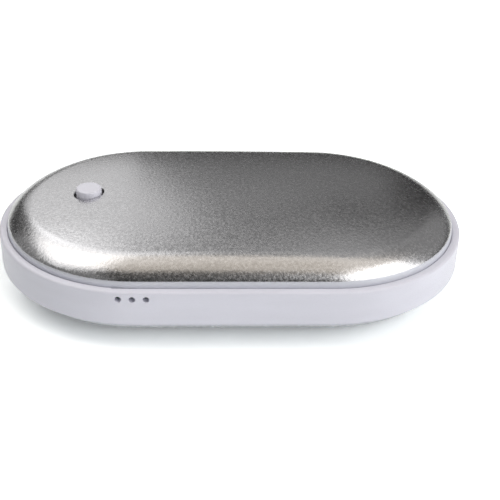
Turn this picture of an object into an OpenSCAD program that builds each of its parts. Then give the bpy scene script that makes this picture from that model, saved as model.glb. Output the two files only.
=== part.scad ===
// Rechargeable hand warmer: two domed metal shells on a plastic band, with a push button in the upper
// shell, three indicator holes in the front of the band and two sockets in its back.
// Millimetres. X runs along the length, -Y is the front, Z is up from the table, and the origin is at
// the middle of the flat that the body rests on.

/* [Body] */
// Length over the plastic band
body_l = 110; // [108:0.5:118]
// Width over the plastic band
body_w = 67; // [65.5:0.5:70]
// Height of the band's side
band_h = 8.4; // [8.2:0.1:9.6]
// Width of the ledge that the band shows around each metal shell
ledge_w = 1.9; // [1.7:0.05:2.3]
// Radius on the band's outer edges
band_edge_r = 0.6; // [0.3:0.05:0.8]
// Depth of the pressed flat that the body rests on
rest_flat = 0.3; // [0.2:0.05:0.35]
// Gap between the band and each metal shell, all round
seam_gap = 0.1; // [0.05:0.01:0.15]
// Width of the rib inside the band that carries both shells
rib_w = 1.7; // [1.5:0.1:2]

/* [Metal shells] */
// Thickness of the pressed sheet
shell_t = 0.9; // [0.7:0.05:1.1]
// Height of the upright wall at the rim, above the ledge
rim_wall = 0.5; // [0.3:0.1:0.8]
// Radius of the rim, where the wall turns inward
rim_r = 2.4; // [2:0.1:2.6]
// Angle that the rim turns through
rim_turn = 41; // [36:1:46]
// Radius of the shoulder between the rim and the crown
shoulder_r = 9.5; // [9:0.1:10.5]
// Angle from level at which the shoulder ends
shoulder_turn = 82; // [80:0.5:83]
// Length of the lip that goes down into the band
lip_h = 1; // [0.8:0.05:1.1]
// Thickness of the glue line under the lip
glue_t = 0.1; // [0.05:0.01:0.15]

/* [Button] */
// Distance of the button from the middle of the body
button_from_middle = 33.8; // [32:0.1:36]
// Diameter of the button
button_d = 6; // [5.6:0.1:6.4]
// Height that the button stands proud of the shell
button_proud = 1.3; // [1:0.1:1.6]
// Rounding of the button's upper edge
button_edge_r = 0.35; // [0.2:0.05:0.5]
// Diameter of the hole in the upper shell
button_hole_d = 7; // [6.8:0.1:7.4]
// Running clearance of the button in its guide, on the radius
button_fit = 0.08; // [0.05:0.01:0.1]
// Diameter of the guide under the shell
guide_d = 10.4; // [10:0.1:11]
// Height of the button's flange
flange_t = 0.7; // [0.5:0.1:0.9]
// Travel of the button
travel = 0.4; // [0.25:0.05:0.45]

/* [Indicator lights] */
// Diameter of each indicator hole
light_d = 1.4; // [1.2:0.1:1.6]
// Distance between the holes
light_pitch = 3; // [2.6:0.1:3.4]
// Distance of the middle hole from the middle of the body
lights_from_middle = 21.9; // [20.5:0.1:24]
// Depth of the holes under the upper ledge
light_drop = 1.8; // [1.8:0.05:2]

/* [Sockets] */
// Distance of the output socket from the middle of the body
out_from_middle = 16; // [15:0.5:17]
// Distance of the charging socket from the middle of the body
in_from_middle = 28; // [27.5:0.1:29]
// Length of the output socket
out_l = 14; // [13:0.5:14.5]
// Clearance of the socket openings around the metal
socket_gap = 0.2; // [0.1:0.05:0.3]

/* [Battery] */
// Room between the cells and the right end of the body's straight sides
cell_end_room = 15.3; // [14.3:0.1:19.3]
// Room between the cells and the rib, at each side
cell_side_room = 7.4; // [7.2:0.1:9.9]
// Thickness of each pouch cell
cell_t = 6.4; // [5.8:0.1:6.5]
// Distance from the middle of the body to the left end of the cells
cells_from_middle = 3.2; // [3:0.1:4]
// Thickness of the double-sided tape between the cells
tape_t = 0.2; // [0.1:0.05:0.3]

/* [Heating] */
// Thickness of the heater film
film_t = 0.2; // [0.1:0.05:0.25]
// Thickness of the heating track
track_t = 0.1; // [0.05:0.01:0.12]
// Width of the heating track
track_w = 1.5; // [1.2:0.1:1.8]
// Distance between the runs of the track
track_pitch = 3.2; // [3:0.1:3.6]
// Number of pairs of runs of the track
track_pairs = 6; // [4:1:6]
// Width of each heater film
film_w = 41; // [40:0.5:44]

/* [Trays] */
// Wall thickness of the inner trays
tray_t = 0.8; // [0.7:0.05:0.9]
// Clearance between the trays and what they hold
tray_gap = 0.3; // [0.2:0.05:0.35]
// Radius of the screw lugs inside the band
lug_r = 2.4; // [2.2:0.1:2.5]
// Thread radius of the tray screws
screw_r = 0.9; // [0.8:0.05:1]

/* [Main board] */
// Thickness of the main board
board_t = 1.2; // [1:0.1:1.2]
// Gap between the board and the band's rib
board_gap = 0.4; // [0.3:0.05:0.6]
// Distance from the middle of the body to the board's right edge
board_edge_from_middle = 8.5; // [8.4:0.1:8.9]

/* [Hidden] */
$fn = 72;
eps = 0.01;

// Plan of the body: two half rounds joined by a straight
end_r = body_w / 2;
straight = body_l - body_w;
shell_r = end_r - ledge_w;
wall_in_r = shell_r + seam_gap;
rib_r = shell_r - rib_w;

// Section of a shell: rim, shoulder and crown, each arc tangent to the next
rim_c = [shell_r - rim_r, rim_wall];
shoulder_c = rim_c - (shoulder_r - rim_r) * [cos(rim_turn), sin(rim_turn)];
crown_edge = shoulder_c + shoulder_r * [cos(shoulder_turn), sin(shoulder_turn)];
crown_r = crown_edge.x / cos(shoulder_turn);
crown_c = [0, crown_edge.y - crown_r * sin(shoulder_turn)];
dome_h = crown_c.y + crown_r;
crown_fn = 360;
hair = 0.001;

// Size of each indicator light
led_w = 1.6;
led_h = 1.2;
led_d = 1;

// Levels
bottom_seam_z = dome_h - rest_flat;
mid_z = bottom_seam_z + band_h / 2;
top_seam_z = bottom_seam_z + band_h;
rib_half = band_h / 2 - lip_h - glue_t;
board_top_z = top_seam_z - light_drop - led_h / 2;
board_z = board_top_z - board_t;

// Layers under each shell, as depths from its outer surface
film_inset = shell_t + 0.05;
track_inset = film_inset + film_t;
pad_inset = track_inset + track_t + 0.05;
tray_inset = pad_inset + 0.2;

// Battery and trays
stack_half = cell_t + tape_t / 2;
floor_half = stack_half + 0.1;
floor_out_half = floor_half + tray_t;
wall_end_half = rib_half + 0.2;
cells_x = -cells_from_middle;
cell_l = straight / 2 + cell_end_room - cells_x;
cell_w = 2 * (rib_r - cell_side_room);
flap_l = 3.2;
battery_left = cells_x - flap_l;
cells_mid_x = (battery_left + cells_x + cell_l) / 2;
cover_left = battery_left - tray_gap - tray_t;
lug_reach = rib_r - lug_r - 0.9;
side_lug_x = battery_left + 0.9;
right_lug_turn = 40;
left_lug_turn = 30;
right_lugs = [for (s = [-1, 1])
    [straight / 2 + lug_reach * cos(right_lug_turn), s * lug_reach * sin(right_lug_turn),
     s * right_lug_turn]];
side_lugs = [for (s = [-1, 1]) [side_lug_x, s * lug_reach, s * 90]];
left_lugs = [for (s = [-1, 1])
    [-straight / 2 - lug_reach * cos(left_lug_turn), s * lug_reach * sin(left_lug_turn),
     180 - s * left_lug_turn]];
battery_lugs = concat(right_lugs, side_lugs);
ear_t = 1.2;
head_r = 1.7;
head_h = 1;
thread_gap = 0.02;
screw_l = 3.4;

// Heater films
film_left = button_from_middle - guide_d / 2 - 3.6;
film_right = straight / 2 + 16.5;
film_corner = 6;
track_margin = 4.5;
track_pad_l = 3;
track_runs = 2 * round(track_pairs);
run_span = track_pitch * (track_runs - 1);
top_track_left = track_margin - film_left;
bottom_track_left = track_margin - film_right;

// Thermistors
bead_r = 0.8;
bead_l = 2.4;
bead_inset = track_inset + bead_r + 0.05;
top_bead_x = 1 - film_left;
bottom_bead_x = 1 - film_right;

// Button and switch
button_x = -button_from_middle;
button_r = button_d / 2;
surface_z = top_seam_z + crown_z(button_from_middle - straight / 2);
button_top_z = surface_z + button_proud;
guide_z = surface_z - shell_t - 1.5;
guide_slack = 0.1;
flange_z = guide_z - guide_slack - flange_t;
flange_r = 4.3;
stem_r = 1.5;
switch_w = 6.2;
switch_h = 3.5;
switch_cover_t = 0.3;
switch_well_r = 2.4;
switch_well_z = board_top_z + 0.8;
snap_h = travel + 0.1;
snap_r = 2.2;
snap_t = 0.1;
plunger_r = 1.75;
plunger_fit = 0.08;
plunger_top_z = board_top_z + 4.9;
plunger_stop_z = board_top_z + switch_h - 0.05;
press_gap = 0.05;

// Indicator lights
led_gap = 0.2;
lights_x = -lights_from_middle;
light_z = top_seam_z - light_drop;
light_xs = [for (i = [-1:1]) lights_x + i * light_pitch];
lights_half_w = light_pitch + led_w / 2 + 0.6;
led_face_y = -wall_in_r + led_gap;

// Sockets
sheet_t = 0.3;
out_w = 13.1;
out_h = 5.72;
out_x = -out_from_middle;
out_mouth_y = mouth_y(out_x, out_w);
tongue_back = 1.9;
tongue_w = 11.1;
tongue_t = 1.84;
tongue_block = 3;
tongue_z = mid_z + out_h / 2 - sheet_t - 0.4 - tongue_t;
contact_w = 1;
contact_t = 0.12;
in_w = 7.5;
in_h = 2.9;
in_l = 5.2;
in_x = -in_from_middle;
in_z = board_z - in_h / 2;
in_mouth_y = mouth_y(in_x, in_w);

// Board fixings and parts
post_r = 2.1;
board_screw_r = 0.8;
board_screw_head_r = 1.5;
end_x = -straight / 2;
board_posts = [[end_x - rib_r + 4.9, 0], [-28, -22], [out_x + 4.5, 3]];
pack_board_t = 0.8;
pack_board_w = 34;
chip_at = [-23, -14];
chip_size = [9.9, 3.9, 1.5];
boost_at = [-29, 12.5];
boost_size = [4.9, 3.9, 1.5];
chip_lift = 0.15;
leg_size = [0.4, 1, 0.3];
coil_at = [-21, 7.5];
coil_w = 7;
coil_h = 3.2;
coil_window_r = 1.4;
capacitor_size = [2, 1.25, 1.2];
capacitors_at = [[-14, -3], [-14, -6], [-27, 6.5], [-27, -6], [end_x - 16.5, -8], [end_x - 16.5, 8]];
resistor_size = [1.6, 0.8, 0.5];
resistor_pitch = [2.6, 2];
resistors_at = [end_x - 16.5, -20.3];
can_at = [end_x - 19.5, -12];
can_r = 2.5;
can_h = 5.2;
can_foot_w = 5.3;
can_foot_h = 0.6;

// Leads, with their sockets and plugs on the board's right edge
socket_size = [4, 5, 3.2];
socket_wall = 0.6;
socket_floor = 0.8;
plug_gap = 0.1;
plug_size = [socket_size.x - 2 * (socket_wall + plug_gap), socket_size.y - 2 * (socket_wall + plug_gap), 3];
plug_x = -board_edge_from_middle - 0.4 - socket_size.x / 2;
plug_top_z = board_top_z + socket_floor + plug_gap + plug_size.z;
plug_ys = [for (i = [0:2]) board_gap - rib_r + 8.5 + 6.5 * i];
lead_r = 0.35;
fine_lead_r = 0.2;
lead_half = 1;
fine_lead_half = 0.35;
lead_level = plug_top_z + 1;
lead_hole_r = 0.8;
lead_rise_x = (cover_left - board_edge_from_middle) / 2;
pad_lead_y = run_span / 2;
top_pad_x = top_track_left - track_pad_l / 2;
bottom_pad_x = bottom_track_left - track_pad_l + 0.6;
bead_lead_y = -bead_l / 2 - 2.5;
tray_holes = [[bottom_pad_x, -pad_lead_y], [bottom_pad_x, pad_lead_y], [bottom_bead_x, bead_lead_y]];

// Height of the crown above the seam at a distance from the middle line
function crown_z(rho) = crown_c.y + sqrt(crown_r * crown_r - rho * rho);

// Height of a layer of the upper shell over a place p, as far under the surface as inset
function upper_z(p, inset) =
    let (over = max(abs(p.x) - straight / 2, 0), r = crown_r - inset)
    top_seam_z + crown_c.y + sqrt(r * r - over * over - p.y * p.y);

// Mouth of a socket at x that is w wide, just inside the band's wall, also where the wall curves
function mouth_y(x, w) =
    let (over = max(abs(x) + w / 2 - straight / 2, 0))
    sqrt(wall_in_r * wall_in_r - over * over) - socket_gap;

// Everything on the left of a line through p at an angle from level, as far as reach
module left_of(p, turn, reach) {
    translate(p) rotate(turn) translate([-reach, 0]) square([2 * reach, reach]);
}

// Half of a dome's section, drawn in by inset, with a straight foot below the seam. Each larger arc
// lies a hair inside the next smaller one, so that their edges cross cleanly.
module dome_2d(inset, foot) {
    intersection() {
        translate([0, -foot]) square([shell_r - inset, foot + dome_h]);
        union() {
            translate([0, -foot]) square([shell_r - inset, foot + rim_wall]);
            translate(rim_c) circle(max(rim_r - inset, eps));
            intersection() {
                translate(shoulder_c) circle(shoulder_r - inset - hair);
                left_of(shoulder_c, rim_turn, 2 * shoulder_r);
            }
            intersection() {
                translate(crown_c) circle(crown_r - inset - 2 * hair, $fn = crown_fn);
                left_of(crown_c, shoulder_turn, 2 * crown_r);
            }
        }
    }
}

// Half of the section of the space inside both shells, drawn in by inset
module core_2d(inset) {
    translate([0, top_seam_z]) dome_2d(inset, band_h / 2);
    translate([0, bottom_seam_z]) mirror([0, 1]) dome_2d(inset, band_h / 2);
}

// Carries a half section round the body's plan
module carry_round() {
    rotate([90, 0, 90]) linear_extrude(straight, center = true) {
        children();
        mirror([1, 0]) children();
    }
    for (s = [-1, 1])
        translate([s * straight / 2, 0, 0]) rotate(-90 * s) rotate_extrude(angle = 180) children();
}

// Plan of the body at a distance r from its middle line
module plan_2d(r) {
    square([straight, 2 * r], center = true);
    for (s = [-1, 1]) translate([s * straight / 2, 0]) circle(r);
}

// Rectangle with round corners, centred
module soft_square(w, h, r) {
    square([w - 2 * r, h], center = true);
    square([w, h - 2 * r], center = true);
    for (a = [-1, 1], b = [-1, 1]) translate([a * (w / 2 - r), b * (h / 2 - r)]) circle(r, $fn = 24);
}

// Layer that follows the inside of the upper shell, between two depths
module upper_layer(inset, t) {
    translate([0, 0, top_seam_z]) carry_round()
        difference() {
            dome_2d(inset, 0);
            dome_2d(inset + t, 1);
        }
}

// Turns a part of the upper half over into the lower half
module turned_over() {
    translate([0, 0, 2 * mid_z]) mirror([0, 0, 1]) children();
}

// Pressed metal shell, standing on the seam
module metal_shell() {
    carry_round()
        difference() {
            dome_2d(0, lip_h);
            dome_2d(shell_t, lip_h + 1);
        }
}

module top_shell() {
    color([0.66, 0.66, 0.68])
        difference() {
            translate([0, 0, top_seam_z]) metal_shell();
            translate([button_x, 0, top_seam_z]) cylinder(h = 2 * dome_h, d = button_hole_d);
        }
}

module bottom_shell() {
    color([0.62, 0.62, 0.64])
        intersection() {
            turned_over() translate([0, 0, top_seam_z]) metal_shell();
            translate([0, 0, mid_z]) cube([2 * body_l, 2 * body_w, 2 * mid_z], center = true);
        }
}

// Section of the band: outer wall with round edges, and the rib that carries the shells
module band_2d() {
    wall = end_r - wall_in_r;
    translate([wall_in_r, -band_h / 2]) square([wall - band_edge_r, band_h]);
    translate([wall_in_r, -band_h / 2 + band_edge_r]) square([wall, band_h - 2 * band_edge_r]);
    for (s = [-1, 1])
        translate([end_r - band_edge_r, s * (band_h / 2 - band_edge_r)]) circle(band_edge_r, $fn = 32);
    translate([rib_r, -rib_half]) square([wall_in_r - rib_r + eps, 2 * rib_half]);
}

// Screw lug inside the band, grown by grow, from z0 to z1 about the band's middle
module lug(place, z0, z1, grow = 0) {
    translate([place.x, place.y, mid_z + z0]) rotate(place.z) {
        cylinder(h = z1 - z0, r = lug_r + grow, $fn = 32);
        translate([0, -lug_r - grow, 0])
            cube([rib_r - lug_reach + 0.5, 2 * (lug_r + grow), z1 - z0]);
    }
}

// Opening for a socket through the band's outer wall, and the pocket behind it in the rib
module socket_cut(x, z, w, h, r, pocket_w) {
    translate([x, 0, z]) rotate([-90, 0, 0])
        linear_extrude(2 * end_r) soft_square(w, h, r);
    intersection() {
        translate([x, rib_r, mid_z]) cube([pocket_w, 2 * rib_w + 8, 3 * rib_half], center = true);
        translate([0, 0, mid_z - band_h]) linear_extrude(2 * band_h) plan_2d(wall_in_r);
    }
}

module mid_frame() {
    color([0.9, 0.9, 0.93])
        difference() {
            union() {
                translate([0, 0, mid_z]) carry_round() band_2d();
                for (place = battery_lugs) lug(place, -rib_half, rib_half);
                for (place = left_lugs) lug(place, -rib_half, board_z - mid_z);
            }
            for (place = battery_lugs)
                translate([place.x, place.y, mid_z])
                    cylinder(h = 3 * rib_half, r = screw_r + thread_gap, center = true, $fn = 32);
            for (place = left_lugs)
                translate([place.x, place.y, mid_z - 2 * rib_half])
                    cylinder(h = 2 * rib_half - 0.6 + board_z - mid_z, r = screw_r + thread_gap, $fn = 32);
            for (x = light_xs)
                translate([x, -wall_in_r + 0.5, light_z]) rotate([90, 0, 0])
                    cylinder(h = 2 * ledge_w, d = light_d, $fn = 32);
            translate([lights_x - lights_half_w, -wall_in_r, board_z - 0.3])
                cube([2 * lights_half_w, rib_w + 1, 2 * rib_half]);
            socket_cut(out_x, mid_z, out_w - 2 * sheet_t + socket_gap, out_h - 2 * sheet_t + socket_gap,
                0.4, out_w + 2 * socket_gap);
            socket_cut(in_x, in_z, in_w + 2 * socket_gap, in_h, 0.8, in_w + 2 * socket_gap);
        }
}

// Glue line that the upper shell's lip stands on
module adhesive_ring() {
    translate([0, 0, mid_z + rib_half]) linear_extrude(glue_t)
        difference() {
            plan_2d(shell_r);
            plan_2d(shell_r - shell_t);
        }
}

module top_adhesive_ring() {
    color([0.85, 0.83, 0.75]) adhesive_ring();
}

module bottom_adhesive_ring() {
    color([0.85, 0.83, 0.75]) turned_over() adhesive_ring();
}

// Skin of a tray in the upper half: it follows the dome and has a flat top
module tray_skin() {
    carry_round()
        difference() {
            intersection() {
                core_2d(tray_inset);
                translate([0, mid_z + wall_end_half])
                    square([end_r, floor_out_half - wall_end_half]);
            }
            intersection() {
                core_2d(tray_inset + tray_t);
                translate([0, mid_z]) square([end_r, floor_half]);
            }
        }
}

// Everything inside the shells at the trays' depth
module tray_space() {
    carry_round() core_2d(tray_inset);
}

// Walls that locate the battery on a tray in the upper half
module battery_walls() {
    length = cells_x + cell_l - battery_left + 2 * tray_gap;
    translate([cells_mid_x, 0, mid_z + wall_end_half])
        linear_extrude(floor_half - wall_end_half + eps)
            difference() {
                square([length + 2 * tray_t, cell_w + 2 * tray_gap + 2 * tray_t], center = true);
                square([length, cell_w + 2 * tray_gap], center = true);
            }
}

// Bosses that seat on the lugs, and the holes for their screws, in the upper half
module ear_bosses(places) {
    for (place = places)
        translate([place.x, place.y, mid_z + rib_half])
            cylinder(h = floor_out_half - rib_half, r = lug_r + 0.2, $fn = 32);
}

module ear_holes(places) {
    for (place = places) translate([place.x, place.y, mid_z + rib_half]) {
        translate([0, 0, -1]) cylinder(h = ear_t + 2, r = screw_r + 0.15, $fn = 32);
        translate([0, 0, ear_t]) cylinder(h = floor_out_half, r = head_r + 0.2, $fn = 32);
    }
}

module tray_in_upper_half(places) {
    difference() {
        intersection() {
            union() {
                tray_skin();
                battery_walls();
                ear_bosses(places);
            }
            tray_space();
        }
        ear_holes(places);
    }
}

module board_posts_with_holes() {
    z0 = mid_z - floor_half - eps;
    for (p = board_posts) translate([p.x, p.y, z0])
        difference() {
            cylinder(h = board_z - z0, r = post_r, $fn = 32);
            translate([0, 0, 2]) cylinder(h = board_z - z0, r = board_screw_r + thread_gap, $fn = 32);
        }
}

module lower_tray() {
    color([0.2, 0.2, 0.22]) {
        difference() {
            turned_over() tray_in_upper_half(concat(battery_lugs, left_lugs));
            for (p = tray_holes) translate(p) cylinder(h = mid_z, r = lead_hole_r, $fn = 24);
        }
        board_posts_with_holes();
    }
}

module battery_cover() {
    color([0.2, 0.2, 0.22])
        intersection() {
            tray_in_upper_half(battery_lugs);
            translate([cover_left, -body_w, 0]) cube([body_l, 2 * body_w, 4 * mid_z]);
        }
}

// Pan-head screw with a cross recess, head up, under side of the head at z = 0
module screw(r, l, hr, hh) {
    difference() {
        union() {
            translate([0, 0, -l]) cylinder(h = l + eps, r = r, $fn = 32);
            cylinder(h = hh, r = hr, $fn = 32);
        }
        for (a = [0, 90]) rotate(a)
            translate([0, 0, hh]) cube([1.5 * hr, 0.35, hh], center = true);
    }
}

module screws_in_lugs(places, l) {
    for (place = places)
        translate([place.x, place.y, mid_z + rib_half + ear_t]) screw(screw_r, l, head_r, head_h);
}

module tray_screws() {
    color([0.55, 0.55, 0.58]) turned_over() screws_in_lugs(concat(battery_lugs, left_lugs), screw_l);
}

module cover_screws() {
    color([0.55, 0.55, 0.58]) screws_in_lugs(battery_lugs, screw_l);
}

// Plan of a heater film from its left to its right end
module film_plan(left, right) {
    translate([(left + right) / 2, 0]) soft_square(right - left, film_w, film_corner);
}

module heater_film(left, right) {
    intersection() {
        upper_layer(film_inset, film_t);
        linear_extrude(4 * mid_z) film_plan(left, right);
    }
}

// Heating track: level runs joined by round turns at alternate ends, with two pads to the left
module track_plan(left, right) {
    turn_r = track_pitch / 2;
    run_l = right - left;
    for (i = [0:track_runs - 1]) translate([left, i * track_pitch - run_span / 2 - track_w / 2])
        square([run_l, track_w]);
    for (i = [0:track_runs - 2])
        translate([i % 2 == 0 ? right : left, (i + 0.5) * track_pitch - run_span / 2])
            intersection() {
                difference() {
                    circle(turn_r + track_w / 2, $fn = 24);
                    circle(turn_r - track_w / 2, $fn = 24);
                }
                translate([i % 2 == 0 ? 0 : -2 * turn_r, -2 * turn_r])
                    square([2 * turn_r, 4 * turn_r]);
            }
    for (s = [-1, 1]) translate([left - track_pad_l, s * run_span / 2 - track_w / 2])
        square([track_pad_l + eps, track_w]);
}

module heater_track(left, right) {
    intersection() {
        upper_layer(track_inset, track_t);
        linear_extrude(4 * mid_z) track_plan(left, right);
    }
}

module top_heater_film() {
    color([0.85, 0.55, 0.2]) heater_film(-film_left, film_right);
}

module top_heater_track() {
    color([0.75, 0.45, 0.3]) heater_track(top_track_left, film_right - track_margin);
}

module bottom_heater_film() {
    color([0.85, 0.55, 0.2]) turned_over() heater_film(-film_right, film_right);
}

module bottom_heater_track() {
    color([0.75, 0.45, 0.3]) turned_over()
        heater_track(bottom_track_left, film_right - track_margin);
}

// Foam block between a tray's flat and the heater
module insulation_pad(left, right) {
    intersection() {
        carry_round() core_2d(pad_inset);
        translate([(left + right) / 2, 0, mid_z + floor_out_half])
            linear_extrude(2 * mid_z) soft_square(right - left, film_w, film_corner);
    }
}

module top_insulation_pad() {
    color([0.9, 0.9, 0.85]) insulation_pad(cover_left, film_right - 3);
}

module bottom_insulation_pad() {
    color([0.9, 0.9, 0.85]) turned_over() insulation_pad(-film_right + 3, film_right - 3);
}

// Thermistor bead with a rounded end, lying across the body under a film's bare left margin at x
module thermistor(x) {
    translate([x, bead_l / 2, upper_z([x, 0], bead_inset)]) rotate([90, 0, 0]) {
        cylinder(h = bead_l, r = bead_r, $fn = 32);
        sphere(bead_r, $fn = 32);
    }
}

module top_thermistor() {
    color([0.15, 0.15, 0.15]) thermistor(top_bead_x);
}

module bottom_thermistor() {
    color([0.15, 0.15, 0.15]) turned_over() thermistor(bottom_bead_x);
}

// Pouch cell in the upper half: soft-cornered pack with its sealed flap at the left
module pouch_cell() {
    z0 = mid_z + tape_t / 2;
    translate([cells_x + cell_l / 2, 0, z0]) linear_extrude(cell_t) soft_square(cell_l, cell_w, 2);
    translate([battery_left + 0.4, -cell_w / 2 + 3, z0 + cell_t / 2])
        cube([flap_l, cell_w - 6, 0.4]);
}

module cell_upper() {
    color([0.75, 0.77, 0.8]) pouch_cell();
}

module cell_lower() {
    color([0.75, 0.77, 0.8]) turned_over() pouch_cell();
}

module cell_tabs() {
    z0 = pack_board_t / 2;
    z1 = tape_t / 2 + cell_t / 2;
    color([0.85, 0.85, 0.8])
        for (side = [0, 1], y = [-9, 9]) mirror([0, 0, side]) translate([0, 0, (1 - 2 * side) * mid_z])
            translate([battery_left + 1.2, y - 2, z0]) cube([0.15, 4, z1 - z0]);
}

module cell_tape() {
    color([0.9, 0.9, 0.6]) translate([cells_x + 3, -cell_w / 2 + 4, mid_z - tape_t / 2])
        cube([cell_l - 6, cell_w - 8, tape_t]);
}

// Film band wrapped once round both cells
module battery_wrap() {
    wrap_t = 0.05;
    color([0.8, 0.6, 0.2, 0.8]) translate([cells_x + cell_l / 2, 0, mid_z]) rotate([90, 0, 90])
        linear_extrude(cell_l / 2, center = true)
            difference() {
                square([cell_w + 2 * wrap_t, 2 * (stack_half + wrap_t)], center = true);
                square([cell_w, 2 * stack_half], center = true);
            }
}

module protection_board() {
    color([0.1, 0.35, 0.2])
        translate([battery_left + 0.2, -pack_board_w / 2, mid_z - pack_board_t / 2])
            cube([flap_l - 0.5, pack_board_w, pack_board_t]);
}

module protection_chips() {
    color([0.1, 0.1, 0.1]) for (y = [-3, 3])
        translate([battery_left + 0.7, y - 1.5, mid_z + pack_board_t / 2]) cube([1.7, 3, 1]);
}

// Outline of the main board: the body's left end, with a tab for the lights and a notch for the socket
module board_plan() {
    difference() {
        union() {
            intersection() {
                plan_2d(rib_r - board_gap);
                translate([-body_l, -body_w]) square([body_l - board_edge_from_middle, 2 * body_w]);
            }
            translate([lights_x - lights_half_w + 0.3, led_face_y + 0.2])
                square([2 * lights_half_w - 0.6, rib_w + 4]);
        }
        translate([out_x - out_w / 2 - 0.15, out_mouth_y - out_l - 0.15])
            square([out_w + 0.3, out_l + 5]);
    }
}

module main_board() {
    color([0.08, 0.32, 0.2])
        difference() {
            translate([0, 0, board_z]) linear_extrude(board_t) board_plan();
            for (p = board_posts) translate([p.x, p.y, board_z - 1])
                cylinder(h = board_t + 2, r = board_screw_r + 0.15, $fn = 32);
        }
}

module board_screws() {
    color([0.55, 0.55, 0.58]) for (p = board_posts)
        translate([p.x, p.y, board_top_z]) screw(board_screw_r, 4, board_screw_head_r, 0.9);
}

// Flat-leaded chip on the board: body and a row of legs on two sides
module leaded_chip(place, size, legs) {
    pitch = size.x / legs;
    translate([place.x, place.y, board_top_z]) {
        translate([-size.x / 2, -size.y / 2, chip_lift]) cube(size);
        for (s = [-1, 1], i = [0:legs - 1])
            translate([(i + 0.5) * pitch - (size.x + leg_size.x) / 2,
                       s * (size.y + leg_size.y - 0.1) / 2 - leg_size.y / 2, 0])
                cube(leg_size);
    }
}

module control_chip() {
    color([0.1, 0.1, 0.1]) leaded_chip(chip_at, chip_size, 8);
}

module boost_chip() {
    color([0.1, 0.1, 0.1]) leaded_chip(boost_at, boost_size, 4);
}

// Shielded coil: ferrite block with a round winding window at each long side
module power_inductor() {
    color([0.25, 0.25, 0.27]) translate([coil_at.x, coil_at.y, board_top_z])
        difference() {
            linear_extrude(coil_h) soft_square(coil_w, coil_w, 1);
            for (s = [-1, 1]) translate([s * (coil_w / 2 + 1.1), 0, coil_h / 2]) rotate([90, 0, 0])
                cylinder(h = 0.7 * coil_w, r = coil_window_r, center = true, $fn = 32);
        }
}

module ceramic_capacitors() {
    color([0.7, 0.6, 0.45]) for (p = capacitors_at)
        translate([p.x - capacitor_size.x / 2, p.y - capacitor_size.y / 2, board_top_z])
            cube(capacitor_size);
}

module resistors() {
    color([0.12, 0.12, 0.12]) for (i = [0:3], j = [0, 1])
        translate([resistors_at.x + i * resistor_pitch.x, resistors_at.y + j * resistor_pitch.y,
                   board_top_z])
            cube(resistor_size);
}

// Can capacitor on its square foot
module storage_capacitor() {
    color([0.8, 0.8, 0.82]) translate([can_at.x, can_at.y, board_top_z]) {
        linear_extrude(can_foot_h) soft_square(can_foot_w, can_foot_w, 0.6);
        cylinder(h = can_h, r = can_r);
    }
}

// Box on the board, centred over its place, with its foot at height z over the board
module on_board(p, size, z = 0) {
    translate([p.x - size.x / 2, p.y - size.y / 2, board_top_z + z]) cube(size);
}

// Sockets for the battery, the upper heater and the upper thermistor, open at the top
module lead_sockets() {
    well = [socket_size.x - 2 * socket_wall, socket_size.y - 2 * socket_wall, socket_size.z];
    color([0.93, 0.92, 0.88]) for (y = plug_ys)
        difference() {
            on_board([plug_x, y], socket_size);
            on_board([plug_x, y], well, socket_floor);
        }
}

module lead_plugs() {
    color([0.97, 0.96, 0.93]) for (y = plug_ys) on_board([plug_x, y], plug_size, socket_floor + plug_gap);
}

// Wire of radius r through points, rounded at its bends
module wire(points, r) {
    for (i = [0:len(points) - 2]) {
        step = points[i + 1] - points[i];
        translate(points[i]) rotate([0, acos(step.z / norm(step)), atan2(step.y, step.x)])
            cylinder(h = norm(step), r = r, $fn = 12);
    }
    for (i = [1:len(points) - 2]) translate(points[i]) sphere(r + eps, $fn = 12);
}

// Two leads from the battery's board, up past the main board's edge and over into their plug
module battery_leads() {
    z = mid_z + pack_board_t / 2 + lead_r;
    color([0.75, 0.1, 0.08]) for (s = [-1, 1]) {
        yp = plug_ys[0] + s * lead_half;
        yb = yp + 6;
        wire([[battery_left + 1, yb, z], [lead_rise_x, yb, z], [lead_rise_x, yp, lead_level],
              [plug_x, yp, lead_level], [plug_x, yp, plug_top_z]], lead_r);
    }
}

// Leads of the upper heater, down to their plug, and of the lower heater, up through the tray to the
// underside of the board
module heater_leads() {
    top_inset = track_inset + track_t + 0.05;
    color([0.9, 0.9, 0.9]) for (s = [-1, 1]) {
        yp = plug_ys[1] + s * lead_half;
        wire([[top_pad_x, s * pad_lead_y, upper_z([top_pad_x, pad_lead_y + lead_r], top_inset)],
              [top_pad_x, s * pad_lead_y, lead_level + 0.6], [plug_x, yp, lead_level + 0.6],
              [plug_x, yp, plug_top_z]], lead_r);
        low_z = 2 * mid_z - upper_z([bottom_pad_x - lead_r, pad_lead_y + lead_r], top_inset);
        translate([bottom_pad_x, s * pad_lead_y, low_z])
            cylinder(h = board_z - low_z, r = lead_r, $fn = 12);
    }
}

// Fine leads of the upper thermistor to its plug, and of the lower one through the tray to the board
module thermistor_leads() {
    top_z = upper_z([top_bead_x, 0], bead_inset);
    low_z = 2 * mid_z - upper_z([bottom_bead_x, 0], bead_inset);
    color([0.2, 0.2, 0.22]) for (s = [-1, 1]) {
        yp = plug_ys[2] + s * lead_half;
        x = s * fine_lead_half;
        wire([[top_bead_x + x, -bead_l / 2 - 0.1, top_z], [top_bead_x + x, bead_lead_y, lead_level + 1.2],
              [plug_x, yp, lead_level + 1.2], [plug_x, yp, plug_top_z]], fine_lead_r);
        wire([[bottom_bead_x + x, -bead_l / 2, low_z], [bottom_bead_x + x, bead_lead_y, low_z],
              [bottom_bead_x + x, bead_lead_y, board_z]], fine_lead_r);
    }
}

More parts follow.
